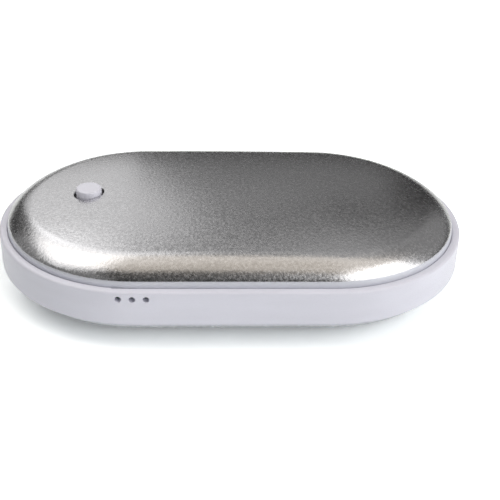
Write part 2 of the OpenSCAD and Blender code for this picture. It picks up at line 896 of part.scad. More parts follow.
// Side-looking lights on the board's tab, each behind its hole
module indicator_leds() {
    color([0.95, 0.95, 0.85]) for (x = light_xs) {
        translate([x - led_w / 2, led_face_y + 0.3, board_top_z]) cube([led_w, led_d, led_h]);
        translate([x, led_face_y + 0.3 + eps, light_z]) rotate([90, 0, 0])
            cylinder(h = 0.3 + eps, d = led_h - 0.2, $fn = 32);
    }
}

// Tube of sheet metal along +Y from y0 to y1
module sheet_tube(x, z, w, h, r, y0, y1) {
    translate([x, y1, z]) rotate([90, 0, 0]) linear_extrude(y1 - y0)
        difference() {
            soft_square(w, h, r);
            soft_square(w - 2 * sheet_t, h - 2 * sheet_t, r - sheet_t);
        }
}

module usb_out_shell() {
    color([0.8, 0.8, 0.82]) sheet_tube(out_x, mid_z, out_w, out_h, 0.6, out_mouth_y - out_l, out_mouth_y);
}

module usb_out_tongue() {
    back_y = out_mouth_y - out_l;
    color([0.15, 0.15, 0.16]) {
        translate([out_x, back_y + tongue_block, mid_z]) rotate([90, 0, 0]) linear_extrude(tongue_block)
            soft_square(out_w - 2 * sheet_t, out_h - 2 * sheet_t, 0.3);
        translate([out_x - tongue_w / 2, back_y + tongue_block - eps, tongue_z])
            cube([tongue_w, out_l - tongue_block - tongue_back, tongue_t]);
    }
}

module usb_out_contacts() {
    back_y = out_mouth_y - out_l + tongue_block;
    color([0.85, 0.7, 0.35]) for (x = [-3.5, -1, 1, 3.5])
        translate([out_x + x - contact_w / 2, back_y, tongue_z - contact_t])
            cube([contact_w, 7.5, contact_t]);
}

module usb_in_shell() {
    color([0.8, 0.8, 0.82]) sheet_tube(in_x, in_z, in_w, in_h, 0.7, in_mouth_y - in_l, in_mouth_y);
}

module usb_in_tongue() {
    back_y = in_mouth_y - in_l;
    inner_h = in_h - 2 * sheet_t;
    color([0.15, 0.15, 0.16]) {
        translate([in_x, back_y + 1, in_z]) rotate([90, 0, 0]) linear_extrude(1)
            soft_square(in_w - 2 * sheet_t, inner_h, 0.4);
        translate([in_x - 1.85, back_y + 1 - eps, in_z + inner_h / 2 - 1.1]) cube([3.7, 3.2, 0.6]);
    }
}

module switch_base() {
    color([0.13, 0.13, 0.14])
        difference() {
            translate([button_x - switch_w / 2, -switch_w / 2 + switch_cover_t, board_top_z])
                cube([switch_w, switch_w - 2 * switch_cover_t, switch_h]);
            translate([button_x, 0, switch_well_z]) cylinder(h = switch_h, r = switch_well_r, $fn = 48);
        }
}

// Domed disc that snaps through when the plunger presses it
module switch_dome() {
    ball_r = (snap_r * snap_r + snap_h * snap_h) / (2 * snap_h);
    color([0.8, 0.8, 0.78]) translate([button_x, 0, switch_well_z])
        rotate_extrude()
            intersection() {
                translate([0, snap_h - ball_r]) difference() {
                    circle(ball_r, $fn = 180);
                    circle(ball_r - snap_t, $fn = 180);
                }
                square([snap_r + 1, snap_h + 1]);
            }
}

module switch_plunger() {
    collar_r = 2.2;
    collar_t = 0.6;
    nub_z = switch_well_z + snap_h + 0.02;
    color([0.5, 0.1, 0.1]) translate([button_x, 0, 0]) {
        translate([0, 0, nub_z]) cylinder(h = plunger_stop_z - nub_z, r = 0.8, $fn = 32);
        translate([0, 0, plunger_stop_z - collar_t]) cylinder(h = collar_t, r = collar_r, $fn = 48);
        translate([0, 0, plunger_stop_z - eps])
            cylinder(h = plunger_top_z - plunger_stop_z + eps, r = plunger_r, $fn = 48);
    }
}

// Folded plate over the switch, open round the plunger
module switch_cover() {
    top_z = board_top_z + switch_h;
    leg_h = 2.4;
    color([0.82, 0.82, 0.84]) translate([button_x, 0, top_z]) {
        difference() {
            translate([-switch_w / 2, -switch_w / 2, 0]) cube([switch_w, switch_w, switch_cover_t]);
            translate([0, 0, -1]) cylinder(h = 3, r = plunger_r + plunger_fit, $fn = 48);
        }
        for (s = [0, 1]) mirror([0, s, 0])
            translate([-1.5, switch_w / 2 - switch_cover_t, -leg_h]) cube([3, switch_cover_t, leg_h + eps]);
    }
}

// Guide glued under the shell: its top follows the dome, its bore guides the button
module button_guide() {
    color([0.2, 0.2, 0.22])
        difference() {
            intersection() {
                translate([button_x, 0, guide_z]) cylinder(h = dome_h, d = guide_d);
                carry_round() core_2d(shell_t + 0.03);
            }
            translate([button_x, 0, guide_z - 1])
                cylinder(h = 2 * dome_h, r = button_r + button_fit);
        }
}

module power_button() {
    stem_z = plunger_top_z + press_gap;
    color([0.93, 0.93, 0.95]) translate([button_x, 0, 0]) {
        rotate_extrude() {
            translate([0, flange_z]) square([button_r, button_top_z - button_edge_r - flange_z]);
            translate([0, flange_z]) square([button_r - button_edge_r, button_top_z - flange_z]);
            translate([button_r - button_edge_r, button_top_z - button_edge_r])
                intersection() {
                    circle(button_edge_r, $fn = 32);
                    square(button_edge_r + 1);
                }
            translate([0, flange_z]) square([flange_r, flange_t]);
            translate([0, stem_z]) square([stem_r, flange_z - stem_z + eps]);
        }
    }
}

top_shell();
bottom_shell();
mid_frame();
top_adhesive_ring();
bottom_adhesive_ring();
lower_tray();
battery_cover();
tray_screws();
cover_screws();
top_heater_film();
top_heater_track();
bottom_heater_film();
bottom_heater_track();
top_insulation_pad();
bottom_insulation_pad();
top_thermistor();
bottom_thermistor();
cell_upper();
cell_lower();
cell_tabs();
cell_tape();
battery_wrap();
protection_board();
protection_chips();
main_board();
board_screws();
control_chip();
boost_chip();
power_inductor();
ceramic_capacitors();
resistors();
storage_capacitor();
indicator_leds();
lead_sockets();
lead_plugs();
battery_leads();
heater_leads();
thermistor_leads();
usb_out_shell();
usb_out_tongue();
usb_out_contacts();
usb_in_shell();
usb_in_tongue();
switch_base();
switch_dome();
switch_plunger();
switch_cover();
button_guide();
power_button();
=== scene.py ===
"""Looks of a rechargeable hand warmer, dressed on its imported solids.

The metal shells, the plastic band and the button are rebuilt as fine meshes from the same sizes as the
solids. Every other part keeps its solid and gets its finish here.
"""

import logging
import math
from dataclasses import dataclass, field
from enum import Enum

import bmesh
import bpy
from mathutils import Matrix, Vector


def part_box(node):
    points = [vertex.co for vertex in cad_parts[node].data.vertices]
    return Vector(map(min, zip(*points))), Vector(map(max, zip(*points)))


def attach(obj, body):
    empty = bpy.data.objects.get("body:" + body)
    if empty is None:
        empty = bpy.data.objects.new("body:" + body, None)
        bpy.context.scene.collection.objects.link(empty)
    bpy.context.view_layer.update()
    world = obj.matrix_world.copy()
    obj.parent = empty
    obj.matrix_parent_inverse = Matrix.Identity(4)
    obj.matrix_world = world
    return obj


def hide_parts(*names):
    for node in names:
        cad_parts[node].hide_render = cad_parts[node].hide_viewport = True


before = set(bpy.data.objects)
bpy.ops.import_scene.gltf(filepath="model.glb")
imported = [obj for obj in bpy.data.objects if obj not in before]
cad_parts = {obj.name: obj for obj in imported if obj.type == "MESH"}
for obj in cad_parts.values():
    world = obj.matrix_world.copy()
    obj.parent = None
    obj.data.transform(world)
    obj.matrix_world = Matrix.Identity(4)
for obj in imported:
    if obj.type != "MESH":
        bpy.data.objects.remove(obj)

LOG = logging.getLogger("hand_warmer")
MM = 0.001
Colour = tuple[float, float, float]
Point2 = tuple[float, float]
Point3 = tuple[float, float, float]
Span = tuple[float, float]
Socket = bpy.types.NodeSocket
Given = Socket | Colour | float
WHITE = (1.0, 1.0, 1.0)
UNIT = (0, 1)
NOISE_SPAN = (0.3, 0.7)
MIX_FIRST, MIX_SECOND, MIX_RESULT = 6, 7, 2
CREASE = math.radians(32)
MERGE_MM = 1e-5
EDGE_STEPS = 8


# Node graphs


class Sum(Enum):
    """Arithmetic on two values."""

    ADD = "ADD"
    SUBTRACT = "SUBTRACT"
    MULTIPLY = "MULTIPLY"
    ABSOLUTE = "ABSOLUTE"


class Feature(Enum):
    """What a distance in a random cell is measured from."""

    MIDDLE = "F1"
    EDGE = "DISTANCE_TO_EDGE"


class Graph:
    """A node tree, with short calls that add nodes and join them."""

    def __init__(self, tree: bpy.types.NodeTree) -> None:
        """Works on the tree of a material or of the world."""
        self.tree = tree

    def give(self, target: Socket, value: Given) -> None:
        """Fills an input.

        Args:
            target: The input.
            value: A socket to link, or the input's constant.
        """
        if isinstance(value, Socket):
            self.tree.links.new(value, target)
        elif target.type == "RGBA":
            target.default_value = (*value, 1)
        else:
            target.default_value = value

    def add(
        self, kind: str, inputs: dict[str | int, Given] | None = None, **options: str
    ) -> bpy.types.Node:
        """Adds a node.

        Args:
            kind: Its type, without the words that every shader node's type starts with.
            inputs: What each of its inputs gets.
            options: Its own settings.

        Returns:
            The node.
        """
        node = self.tree.nodes.new("ShaderNode" + kind)
        for name, value in options.items():
            setattr(node, name, value)
        for name, value in (inputs or {}).items():
            self.give(node.inputs[name], value)
        return node

    def ramp(self, value: Socket, span: Span = UNIT, to: Span = UNIT) -> Socket:
        """A value whose span is mapped to another one, clamped."""
        ends = zip(("From Min", "From Max", "To Min", "To Max"), (*span, *to))
        return self.add("MapRange", {"Value": value, **dict(ends)}).outputs["Result"]

    def blend(self, factor: Socket, first: Given, second: Given) -> Socket:
        """A colour between two, by a factor that is 0 for the first."""
        inputs = {"Factor": factor, MIX_FIRST: first, MIX_SECOND: second}
        return self.add("Mix", inputs, data_type="RGBA").outputs[MIX_RESULT]

    def sums(self, operation: Sum, first: Socket, second: Given) -> Socket:
        """The result of arithmetic on two values."""
        return self.add("Math", {0: first, 1: second}, operation=operation.value).outputs[0]


class Surface(Graph):
    """A material's node tree with one Principled shader."""

    def __init__(self, name: str) -> None:
        """Starts an empty material.

        Args:
            name: The material's name.
        """
        self.material = bpy.data.materials.new(name)
        self.material.use_nodes = True
        super().__init__(self.material.node_tree)
        self.tree.nodes.clear()
        self.shader = self.add("BsdfPrincipled")
        self.add("OutputMaterial", {"Surface": self.shader.outputs[0]})

    def place(self, scale: Point3 = (1, 1, 1)) -> Socket:
        """Object coordinates in millimetres, stretched by a scale along each axis."""
        coords = self.add("TexCoord").outputs["Object"]
        return self.add("Mapping", {"Vector": coords, "Scale": [s / MM for s in scale]}).outputs[0]

    def noise(self, place: Socket, scale: float, detail: float = 2, rough: float = 0.5) -> Socket:
        """Smooth noise of that many cycles per unit of place, about 0.5 on average."""
        inputs = {"Vector": place, "Scale": scale, "Detail": detail, "Roughness": rough}
        return self.add("TexNoise", inputs).outputs["Fac"]

    def cells(self, place: Socket, scale: float, feature: Feature = Feature.MIDDLE) -> Socket:
        """Distance in random cells, of which that many lie on a unit of place."""
        node = self.add("TexVoronoi", {"Vector": place, "Scale": scale}, feature=feature.value)
        return node.outputs["Distance"]

    def weave(self, place: Socket, scale: float, wander: float = 0) -> Socket:
        """Even bands along one axis times even bands along the other.

        Args:
            place: The vector socket it is read at.
            scale: Bands per unit of that vector.
            wander: How far the bands wander.

        Returns:
            The value socket.
        """
        inputs = {"Vector": place, "Scale": scale, "Distortion": wander}
        bands = [self.add("TexWave", inputs, bands_direction=axis).outputs["Fac"] for axis in "XY"]
        return self.sums(Sum.MULTIPLY, *bands)

    def feed(self, **values: Given) -> None:
        """Fills the shader's own inputs, named with _ for each space."""
        for name, value in values.items():
            self.give(self.shader.inputs[name.replace("_", " ")], value)

    def relief(self, height: Socket, depth_mm: float, strength: float = 1) -> None:
        """Gives the shader a bump that is depth_mm deep where the height is 1."""
        bump = self.add("Bump", {"Strength": strength, "Distance": depth_mm * MM, "Height": height})
        self.feed(Normal=bump.outputs["Normal"])


def shaded(tone: Colour, share: float, more: float = 0.0) -> Colour:
    """A share of a tone, with a little more added, up to white."""
    return tuple(min(1.0, share * c + more) for c in tone)


def around(middle: float, spread: float) -> Span:
    """The span that reaches as far below a middle as above it."""
    return (middle - spread, middle + spread)


# Finishes


@dataclass(frozen=True)
class Finish:
    """What a surface is made of. Each kind makes its own material."""

    name: str

    def material(self) -> bpy.types.Material:
        """The finish's material, made once and then shared."""
        found = bpy.data.materials.get(self.label)
        return found or self.mix()

    @property
    def label(self) -> str:
        """The material's name, which is no name that the frame brings."""
        return self.name + "_finish"

    def mix(self) -> bpy.types.Material:
        """Makes the material."""
        raise NotImplementedError


@dataclass(frozen=True)
class BlastedMetal(Finish):
    """Sheet metal blasted with fine beads and anodised clear, with a smooth strip left along its seam."""

    tone: Colour = (0.62, 0.615, 0.625)
    roughness: float = 0.25
    roughness_spread: float = 0.04
    grain_mm: float = 0.62
    grain_span: Span = (0.25, 0.75)
    contrast: float = 0.11
    depth_mm: float = 0.009
    cloud_scale: float = 0.06
    cloud_share: float = 0.05
    seam_middle: float = 10.909
    seam_half: float = 4.2
    strip_mm: float = 1.5
    strip_edge: float = 0.06
    strip_tone: Colour = (0.62, 0.63, 0.69)
    strip_metal: float = 0.3
    strip_matt: float = 0.22

    def mix(self) -> bpy.types.Material:
        """Makes the material.

        Returns:
            Metal whose tone, gloss and relief all follow the grain of the blasting, away from the seam.
        """
        graph = Surface(self.label)
        place = graph.place()
        strip = self.strip(graph, place)
        coarse = graph.noise(place, 1 / self.grain_mm, detail=1)
        cloud = graph.ramp(graph.noise(place, self.cloud_scale), NOISE_SPAN, around(0, self.cloud_share))
        grain = graph.sums(Sum.MULTIPLY, graph.ramp(coarse, NOISE_SPAN), graph.ramp(strip, to=(1, 0)))
        dark, light = (shaded(self.tone, share) for share in around(1, self.contrast))
        blasted = graph.blend(graph.sums(Sum.ADD, grain, cloud), dark, light)
        gloss = graph.ramp(coarse, self.grain_span, around(self.roughness, self.roughness_spread))
        graph.feed(
            Base_Color=graph.blend(strip, blasted, self.strip_tone),
            Roughness=graph.sums(Sum.ADD, gloss, graph.ramp(strip, to=(0, self.strip_matt))),
            Metallic=graph.ramp(strip, to=(1, self.strip_metal)),
        )
        graph.relief(grain, self.depth_mm)
        return graph.material

    def strip(self, graph: Graph, place: Socket) -> Socket:
        """Where the smooth strip lies.

        Args:
            graph: The material's graph.
            place: Object coordinates in millimetres.

        Returns:
            A value that is 1 on the strip and 0 on the blasted dome.
        """
        height = graph.add("SeparateXYZ", {0: place}).outputs["Z"]
        level = graph.sums(Sum.ABSOLUTE, graph.sums(Sum.SUBTRACT, height, self.seam_middle), 0)
        return graph.ramp(level, around(self.seam_half + self.strip_mm, self.strip_edge), (1, 0))


@dataclass(frozen=True)
class MouldedPlastic(Finish):
    """Injection-moulded plastic with a fine spark-eroded texture."""

    tone: Colour
    roughness: float
    texture_mm: float = 0.15
    depth_mm: float = 0.004
    relief_share: float = 0.4
    roughness_spread: float = 0.04
    flow: Point3 = (0.05, 0.12, 0.3)
    flow_shade: float = 0.965

    def mix(self) -> bpy.types.Material:
        """Makes the material.

        Returns:
            Plastic with faint flow marks in its tone, and a fine texture in its gloss and relief.
        """
        graph = Surface(self.label)
        fine = graph.noise(graph.place(), 1 / self.texture_mm, rough=0.6)
        flow = graph.ramp(graph.noise(graph.place(self.flow), 1, detail=3), NOISE_SPAN)
        graph.feed(
            Base_Color=graph.blend(flow, shaded(self.tone, self.flow_shade), self.tone),
            Roughness=graph.ramp(fine, NOISE_SPAN, around(self.roughness, self.roughness_spread)),
        )
        graph.relief(fine, self.depth_mm, self.relief_share)
        return graph.material


@dataclass(frozen=True)
class RolledMetal(Finish):
    """Bare sheet, wire or turned metal with fine rolling lines and handling marks."""

    tone: Colour
    roughness: float
    lines_mm: float = 0.08
    grain: Point3 = (0.1, 1.2, 1.2)
    roughness_span: Span = (-0.05, 0.08)
    marks_scale: float = 0.6
    marks_span: Span = (0.35, 0.7)
    worn: float = 0.82
    depth_mm: float = 0.004
    relief_share: float = 0.5

    def mix(self) -> bpy.types.Material:
        """Makes the material.

        Returns:
            Metal with lines along its grain and cloudy handling marks.
        """
        graph = Surface(self.label)
        stretch = tuple(g / self.lines_mm for g in self.grain)
        lines = graph.noise(graph.place(stretch), 1, detail=3, rough=0.6)
        marks = graph.noise(graph.place(), self.marks_scale, detail=4, rough=0.6)
        marks = graph.ramp(marks, self.marks_span)
        gloss = graph.ramp(lines, NOISE_SPAN, self.roughness_span)
        graph.feed(
            Base_Color=graph.blend(marks, self.tone, shaded(self.tone, self.worn)),
            Roughness=graph.sums(Sum.ADD, gloss, self.roughness),
            Metallic=1.0,
        )
        graph.relief(lines, self.depth_mm, self.relief_share)
        return graph.material


@dataclass(frozen=True)
class ThinFilm(Finish):
    """Clear or tinted plastic film, with faint waves from being laid down."""

    tone: Colour = (0.62, 0.3, 0.06)
    roughness: float = 0.22
    clearness: float = 0.35
    refraction: float = 1.6
    haze: float = 0.15
    specks_scale: float = 4
    specks_span: Span = (0.3, 0.75)
    waves_scale: float = 0.25
    thick: float = 0.8
    depth_mm: float = 0.15
    relief_share: float = 0.4

    def mix(self) -> bpy.types.Material:
        """Makes the material.

        Returns:
            Film that lets a part of the light through.
        """
        graph = Surface(self.label)
        waves = graph.noise(graph.place(), self.waves_scale, rough=0.4)
        specks = graph.noise(graph.place(), self.specks_scale, rough=0.7)
        thick = shaded(self.tone, self.thick)
        graph.feed(
            Base_Color=graph.blend(graph.ramp(waves, NOISE_SPAN), self.tone, thick),
            Roughness=graph.ramp(specks, self.specks_span, (self.roughness, self.roughness + self.haze)),
            Transmission_Weight=self.clearness,
            IOR=self.refraction,
        )
        graph.relief(waves, self.depth_mm, self.relief_share)
        return graph.material


@dataclass(frozen=True)
class CellFoam(Finish):
    """Foam sheet with open cells."""

    cell_mm: float
    tone: Colour = (0.78, 0.77, 0.7)
    small_rate: float = 2.6
    small_share: float = 0.3
    wall_span: Span = (0.1, 0.6)
    painted_cell_shade: float = 0.6
    roughness: float = 0.95
    sheen: float = 0.2
    depth_mm: float = 0.2
    relief_share: float = 0.8

    def mix(self) -> bpy.types.Material:
        """Makes the material.

        Returns:
            Matt foam, with painted shade that darkens the middles of its cells.
        """
        graph = Surface(self.label)
        large = graph.cells(graph.place(), 1 / self.cell_mm)
        small = graph.cells(graph.place(), self.small_rate / self.cell_mm)
        large = graph.ramp(large, self.wall_span, (0, 1 - self.small_share))
        skin = graph.sums(Sum.ADD, large, graph.ramp(small, self.wall_span, (0, self.small_share)))
        graph.feed(
            # Painted shade: the colour is darker towards each cell's middle, where the cells are deepest.
            Base_Color=graph.blend(skin, shaded(self.tone, self.painted_cell_shade), self.tone),
            Roughness=self.roughness,
            Specular_IOR_Level=self.sheen,
        )
        graph.relief(skin, self.depth_mm, self.relief_share)
        return graph.material


@dataclass(frozen=True)
class PouchFoil(Finish):
    """Aluminium laminate of a pouch cell, embossed and a little creased."""

    emboss_mm: float
    tone: Colour = (0.7, 0.72, 0.75)
    painted_dip_shade: float = 0.88
    emboss_wander: float = 0.4
    crease_scale: Point3 = (0.12, 0.2, 0.2)
    crease_width: float = 0.03
    crease_depth: float = 0.6
    roughness_span: Span = (0.5, 0.36)
    metal: float = 0.85
    depth_mm: float = 0.05
    relief_share: float = 0.5

    def mix(self) -> bpy.types.Material:
        """Makes the material.

        Returns:
            Satin foil with a crossed emboss and creases, and painted shade that darkens the creases and the
            low parts of the emboss.
        """
        graph = Surface(self.label)
        emboss = graph.weave(graph.place(), 1 / self.emboss_mm / math.tau, self.emboss_wander)
        crease = graph.cells(graph.place(self.crease_scale), 1, Feature.EDGE)
        crease = graph.ramp(crease, (0, self.crease_width), (-self.crease_depth, 0))
        height = graph.sums(Sum.ADD, emboss, crease)
        graph.feed(
            # Painted shade: the colour darkens with the height, down into the creases and the dips of the
            # emboss.
            Base_Color=graph.blend(height, shaded(self.tone, self.painted_dip_shade), self.tone),
            Roughness=graph.ramp(height, to=self.roughness_span),
            Metallic=self.metal,
        )
        graph.relief(height, self.depth_mm, self.relief_share)
        return graph.material


@dataclass(frozen=True)
class CircuitBoard(Finish):
    """Glass-fibre board under green solder mask, with copper tracks showing through."""

    pitch_mm: float
    tone: Colour = (0.02, 0.16, 0.07)
    track: Colour = (0.05, 0.27, 0.12)
    tin: Colour = (0.75, 0.74, 0.7)
    flat: Point3 = (1, 1, 0.01)
    track_edge: Span = (0.1, 0.12)
    hole_rate: float = 0.45
    hole_edge: Span = (0.045, 0.06)
    weave_scale: float = 1.2
    weave_share: float = 0.12
    roughness: float = 0.3
    depth_mm: float = 0.035
    relief_share: float = 0.8

    def mix(self) -> bpy.types.Material:
        """Makes the material.

        Returns:
            Mask over raised tracks, with tinned holes between them.
        """
        graph = Surface(self.label)
        place = graph.place(self.flat)
        copper = graph.ramp(graph.cells(place, 1 / self.pitch_mm, Feature.EDGE), self.track_edge)
        weave = graph.ramp(graph.weave(graph.place(), self.weave_scale), to=(0, self.weave_share))
        hole = graph.ramp(graph.cells(place, self.hole_rate / self.pitch_mm), self.hole_edge, (1, 0))
        mask = graph.blend(graph.sums(Sum.SUBTRACT, copper, weave), self.tone, self.track)
        graph.feed(
            Base_Color=graph.blend(hole, mask, self.tin),
            Metallic=hole,
            Roughness=self.roughness,
        )
        graph.relief(copper, self.depth_mm, self.relief_share)
        return graph.material


@dataclass(frozen=True)
class Cast(Finish):
    """Cast or fired body: chip resin, ferrite, ceramic, clear resin or set glue."""

    tone: Colour = (0.03, 0.03, 0.033)
    roughness: float = 0.55
    speck_mm: float = 0.12
    clearness: float = 0.0
    speck_span: Span = (0.45, 0.75)
    patch_scale: float = 0.5
    patch_share: float = 0.2
    light: tuple[float, float] = (1.3, 0.01)
    haze: float = 0.12
    depth_mm: float = 0.01
    relief_share: float = 0.5

    def mix(self) -> bpy.types.Material:
        """Makes the material.

        Returns:
            A body with specks of its filler.
        """
        graph = Surface(self.label)
        place = graph.place()
        specks = graph.noise(place, 1 / self.speck_mm, rough=0.7)
        patches = graph.ramp(graph.noise(place, self.patch_scale), NOISE_SPAN, (0, self.patch_share))
        filler = graph.ramp(specks, self.speck_span, (0, 1 - self.patch_share))
        amount = graph.sums(Sum.ADD, filler, patches)
        graph.feed(
            Base_Color=graph.blend(amount, self.tone, shaded(self.tone, *self.light)),
            Roughness=graph.ramp(specks, NOISE_SPAN, (self.roughness, self.roughness + self.haze)),
            Transmission_Weight=self.clearness,
        )
        graph.relief(specks, self.depth_mm, self.relief_share)
        return graph.material


# Shapes


def arc(centre: Point2, radius: float, start: float, end: float, steps: int) -> list[Point2]:
    """Points on an arc.

    Args:
        centre: Its middle.
        radius: Its radius.
        start: Turn of its first point, in radians.
        end: Turn of its last point.
        steps: Steps from the first point to the last.

    Returns:
        One point more than the steps.
    """
    turns = [start + (end - start) * i / steps for i in range(steps + 1)]
    return [(centre[0] + radius * math.cos(t), centre[1] + radius * math.sin(t)) for t in turns]


def flare(radius: float, edge_r: float, turn: float, steps: int) -> list[Point2]:
    """The rounded edge of a hole, from the straight hole up to the surface at height 0."""
    middle = (radius + edge_r, -edge_r * math.sin(turn))
    return arc(middle, edge_r, math.pi, math.pi - turn, steps)


@dataclass(frozen=True)
class DomeSection:
    """Half of a shell's section: upright wall, rim, shoulder and crown, each arc tangent to the next."""

    half_width: float = 31.6
    half_straight: float = 21.5
    half_length: float = 55.0
    wall: float = 0.5
    rim_r: float = 2.4
    rim_turn: float = math.radians(41)
    shoulder_r: float = 9.5
    shoulder_turn: float = math.radians(82)
    crown_rise: float = 0.35
    crown_fall: float = 1.1

    @property
    def rim_centre(self) -> Point2:
        """Middle of the rim's arc."""
        return (self.half_width - self.rim_r, self.wall)

    @property
    def shoulder_centre(self) -> Point2:
        """Middle of the shoulder's arc.

        Returns:
            Its distance from the middle line and its height over the seam.
        """
        reach = self.shoulder_r - self.rim_r
        x, z = self.rim_centre
        return (x - reach * math.cos(self.rim_turn), z - reach * math.sin(self.rim_turn))

    @property
    def crown_r(self) -> float:
        """Radius of the crown's arc, whose middle lies on the body's middle line."""
        edge = self.shoulder_centre[0] + self.shoulder_r * math.cos(self.shoulder_turn)
        return edge / math.cos(self.shoulder_turn)

    @property
    def crown_z(self) -> float:
        """Height of the middle of the crown's arc, over the seam."""
        edge = self.shoulder_centre[1] + self.shoulder_r * math.sin(self.shoulder_turn)
        return edge - self.crown_r * math.sin(self.shoulder_turn)

    @property
    def height(self) -> float:
        """Height of the dome over the seam."""
        return self.crown_z + self.crown_r

    def line(self, inset: float, fineness: int) -> list[Point2]:
        """The section's line from the top of the wall to the middle.

        Args:
            inset: How far it is drawn in from the outer surface.
            fineness: Steps on the shoulder; the other arcs follow it.

        Returns:
            Points of distance from the middle line and height over the seam.
        """
        points = []
        for centre, radius, start, end, steps in (
            (self.rim_centre, self.rim_r, 0.0, self.rim_turn, fineness // 2),
            (self.shoulder_centre, self.shoulder_r, self.rim_turn, self.shoulder_turn, fineness),
            ((0.0, self.crown_z), self.crown_r, self.shoulder_turn, math.pi / 2, 2 * fineness),
        ):
            found = arc(centre, radius - inset, start, end, steps)
            points += [(max(x, 0.0), z) for x, z in found[1 if points else 0 :]]
        return points

    def surface(self, x: float, y: float) -> float:
        """Height of the crown over the seam at a place on the body's plan."""
        over = math.hypot(max(abs(x) - self.half_straight, 0.0), y)
        return self.crown_z + math.sqrt(self.crown_r**2 - over**2) + self.bow(x, self.height)

    def bow(self, x: float, z: float) -> float:
        """How much the crown's lengthwise bow lifts a point.

        Args:
            x: Its place along the body.
            z: Its height over the seam.

        Returns:
            The lift.
        """
        share = min(max(z / self.height, 0.0), 1.0)
        share *= share * (3 - 2 * share)
        return share * (self.crown_rise - self.crown_fall * (x / self.half_length) ** 2)


@dataclass(frozen=True)
class Plan:
    """The body's plan: two half rounds joined by a straight."""

    half_straight: float = 21.5
    steps: int = 64
    straight_steps: int = 40

    def ring(self, reach: float) -> list[Point2]:
        """The outline at a distance from the middle line.

        Args:
            reach: The distance.

        Returns:
            Points all the way round.
        """
        points = []
        for side in (1, -1):
            for i in range(self.steps):
                turn = math.pi * i / self.steps - math.pi / 2
                x = self.half_straight + reach * math.cos(turn)
                points.append((side * x, side * reach * math.sin(turn)))
            for i in range(self.straight_steps):
                x = self.half_straight * (1 - 2 * i / self.straight_steps)
                points.append((side * x, side * reach))
        return points


def smooth(data: bpy.types.Mesh) -> None:
    """Shades a mesh smooth, with a crease wherever two faces meet at more than CREASE."""
    data.polygons.foreach_set("use_smooth", [True] * len(data.polygons))
    data.set_sharp_from_angle(angle=CREASE)


class Mesh:
    """A mesh in millimetres that becomes an object of the scene in metres."""

    def __init__(self) -> None:
        """Starts an empty mesh."""
        self.bm = bmesh.new()

    def loft(self, rings: list[list[Point3]], closed: bool = False, capped: bool = False) -> "Mesh":
        """Joins rings of points by faces.

        Args:
            rings: Each ring's points in order; a ring of one point is a pole.
            closed: True if the last ring joins the first.
            capped: True if one face closes each end.

        Returns:
            The mesh itself.
        """
        made = [[self.bm.verts.new(point) for point in ring] for ring in rings]
        for low, high in zip(made, made[1:] + made[:1] if closed else made[1:]):
            steps = max(len(low), len(high))
            for i in range(steps):
                j = (i + 1) % steps
                foot = (low[i % len(low)], low[j % len(low)])
                top = (high[j % len(high)], high[i % len(high)])
                self.bm.faces.new(tuple(dict.fromkeys(foot + top)))
        if capped:
            self.bm.faces.new(made[0][::-1])
            self.bm.faces.new(made[-1])
        return self

    def sweep(
        self, plan: Plan, section: list[Point2], dome: DomeSection | None = None, closed: bool = False
    ) -> "Mesh":
        """Carries a half section round the plan.

        Args:
            plan: The plan that it follows.
            section: Points of distance from the middle line and height.
            dome: The dome whose lengthwise bow the points follow.
            closed: True if the section's end joins its start.

        Returns:
            The mesh itself.
        """
        rings = []
        for reach, z in section:
            rings.append([(x, y, z + (dome.bow(x, z) if dome else 0.0)) for x, y in plan.ring(reach)])
        return self.loft(rings, closed)

    def spin(self, section: list[Point2], steps: int, centre: Point2 = (0, 0)) -> "Mesh":
        """Turns a section about an upright line.

        Args:
            section: Points of radius and height; a radius of 0 is a pole.
            steps: Faces round.
            centre: Where the line stands.

        Returns:
            The mesh itself.
        """
        rings = []
        for radius, z in section:
            ring = arc(centre, radius, 0.0, math.tau, steps if radius else 1)[:-1]
            rings.append([(x, y, z) for x, y in ring])
        return self.loft(rings)

    def prism(self, ring: list[Point2], low: float, high: float) -> "Mesh":
        """Raises a closed outline between two heights."""
        return self.loft([[(x, y, z) for x, y in ring] for z in (low, high)], capped=True)

    def upright(self, z: float, mirrored: bool = False) -> "Mesh":
        """Moves everything up.

        Args:
            z: How far.
            mirrored: True if it is turned over first.

        Returns:
            The mesh itself.
        """
        if mirrored:
            bmesh.ops.scale(self.bm, vec=(1, 1, -1), verts=self.bm.verts)
        bmesh.ops.translate(self.bm, vec=(0, 0, z), verts=self.bm.verts)
        return self

    def made(self, name: str, finish: Finish) -> bpy.types.Object:
        """The finished object.

        Args:
            name: Its name.
            finish: Its finish.

        Returns:
            The object, linked to the scene.
        """
        bmesh.ops.remove_doubles(self.bm, verts=self.bm.verts, dist=MERGE_MM)
        bmesh.ops.recalc_face_normals(self.bm, faces=self.bm.faces)
        bmesh.ops.scale(self.bm, vec=(MM, MM, MM), verts=self.bm.verts)
        data = bpy.data.meshes.new(name)
        self.bm.to_mesh(data)
        self.bm.free()
        smooth(data)
        data.materials.append(finish.material())
        obj = bpy.data.objects.new(name, data)
        bpy.context.scene.collection.objects.link(obj)
        return obj


def even_out(obj: bpy.types.Object) -> None:
    """Lets the large faces set the shading, so that cut edges leave no smear on them.

    Args:
        obj: The piece.
    """
    modifier = obj.modifiers.new("even_shading", "WEIGHTED_NORMAL")
    modifier.mode = "FACE_AREA"
    modifier.weight = 100
    modifier.keep_sharp = True


class Cut(Enum):
    """What a tool does to a piece."""

    TAKE = "DIFFERENCE"
    JOIN = "UNION"


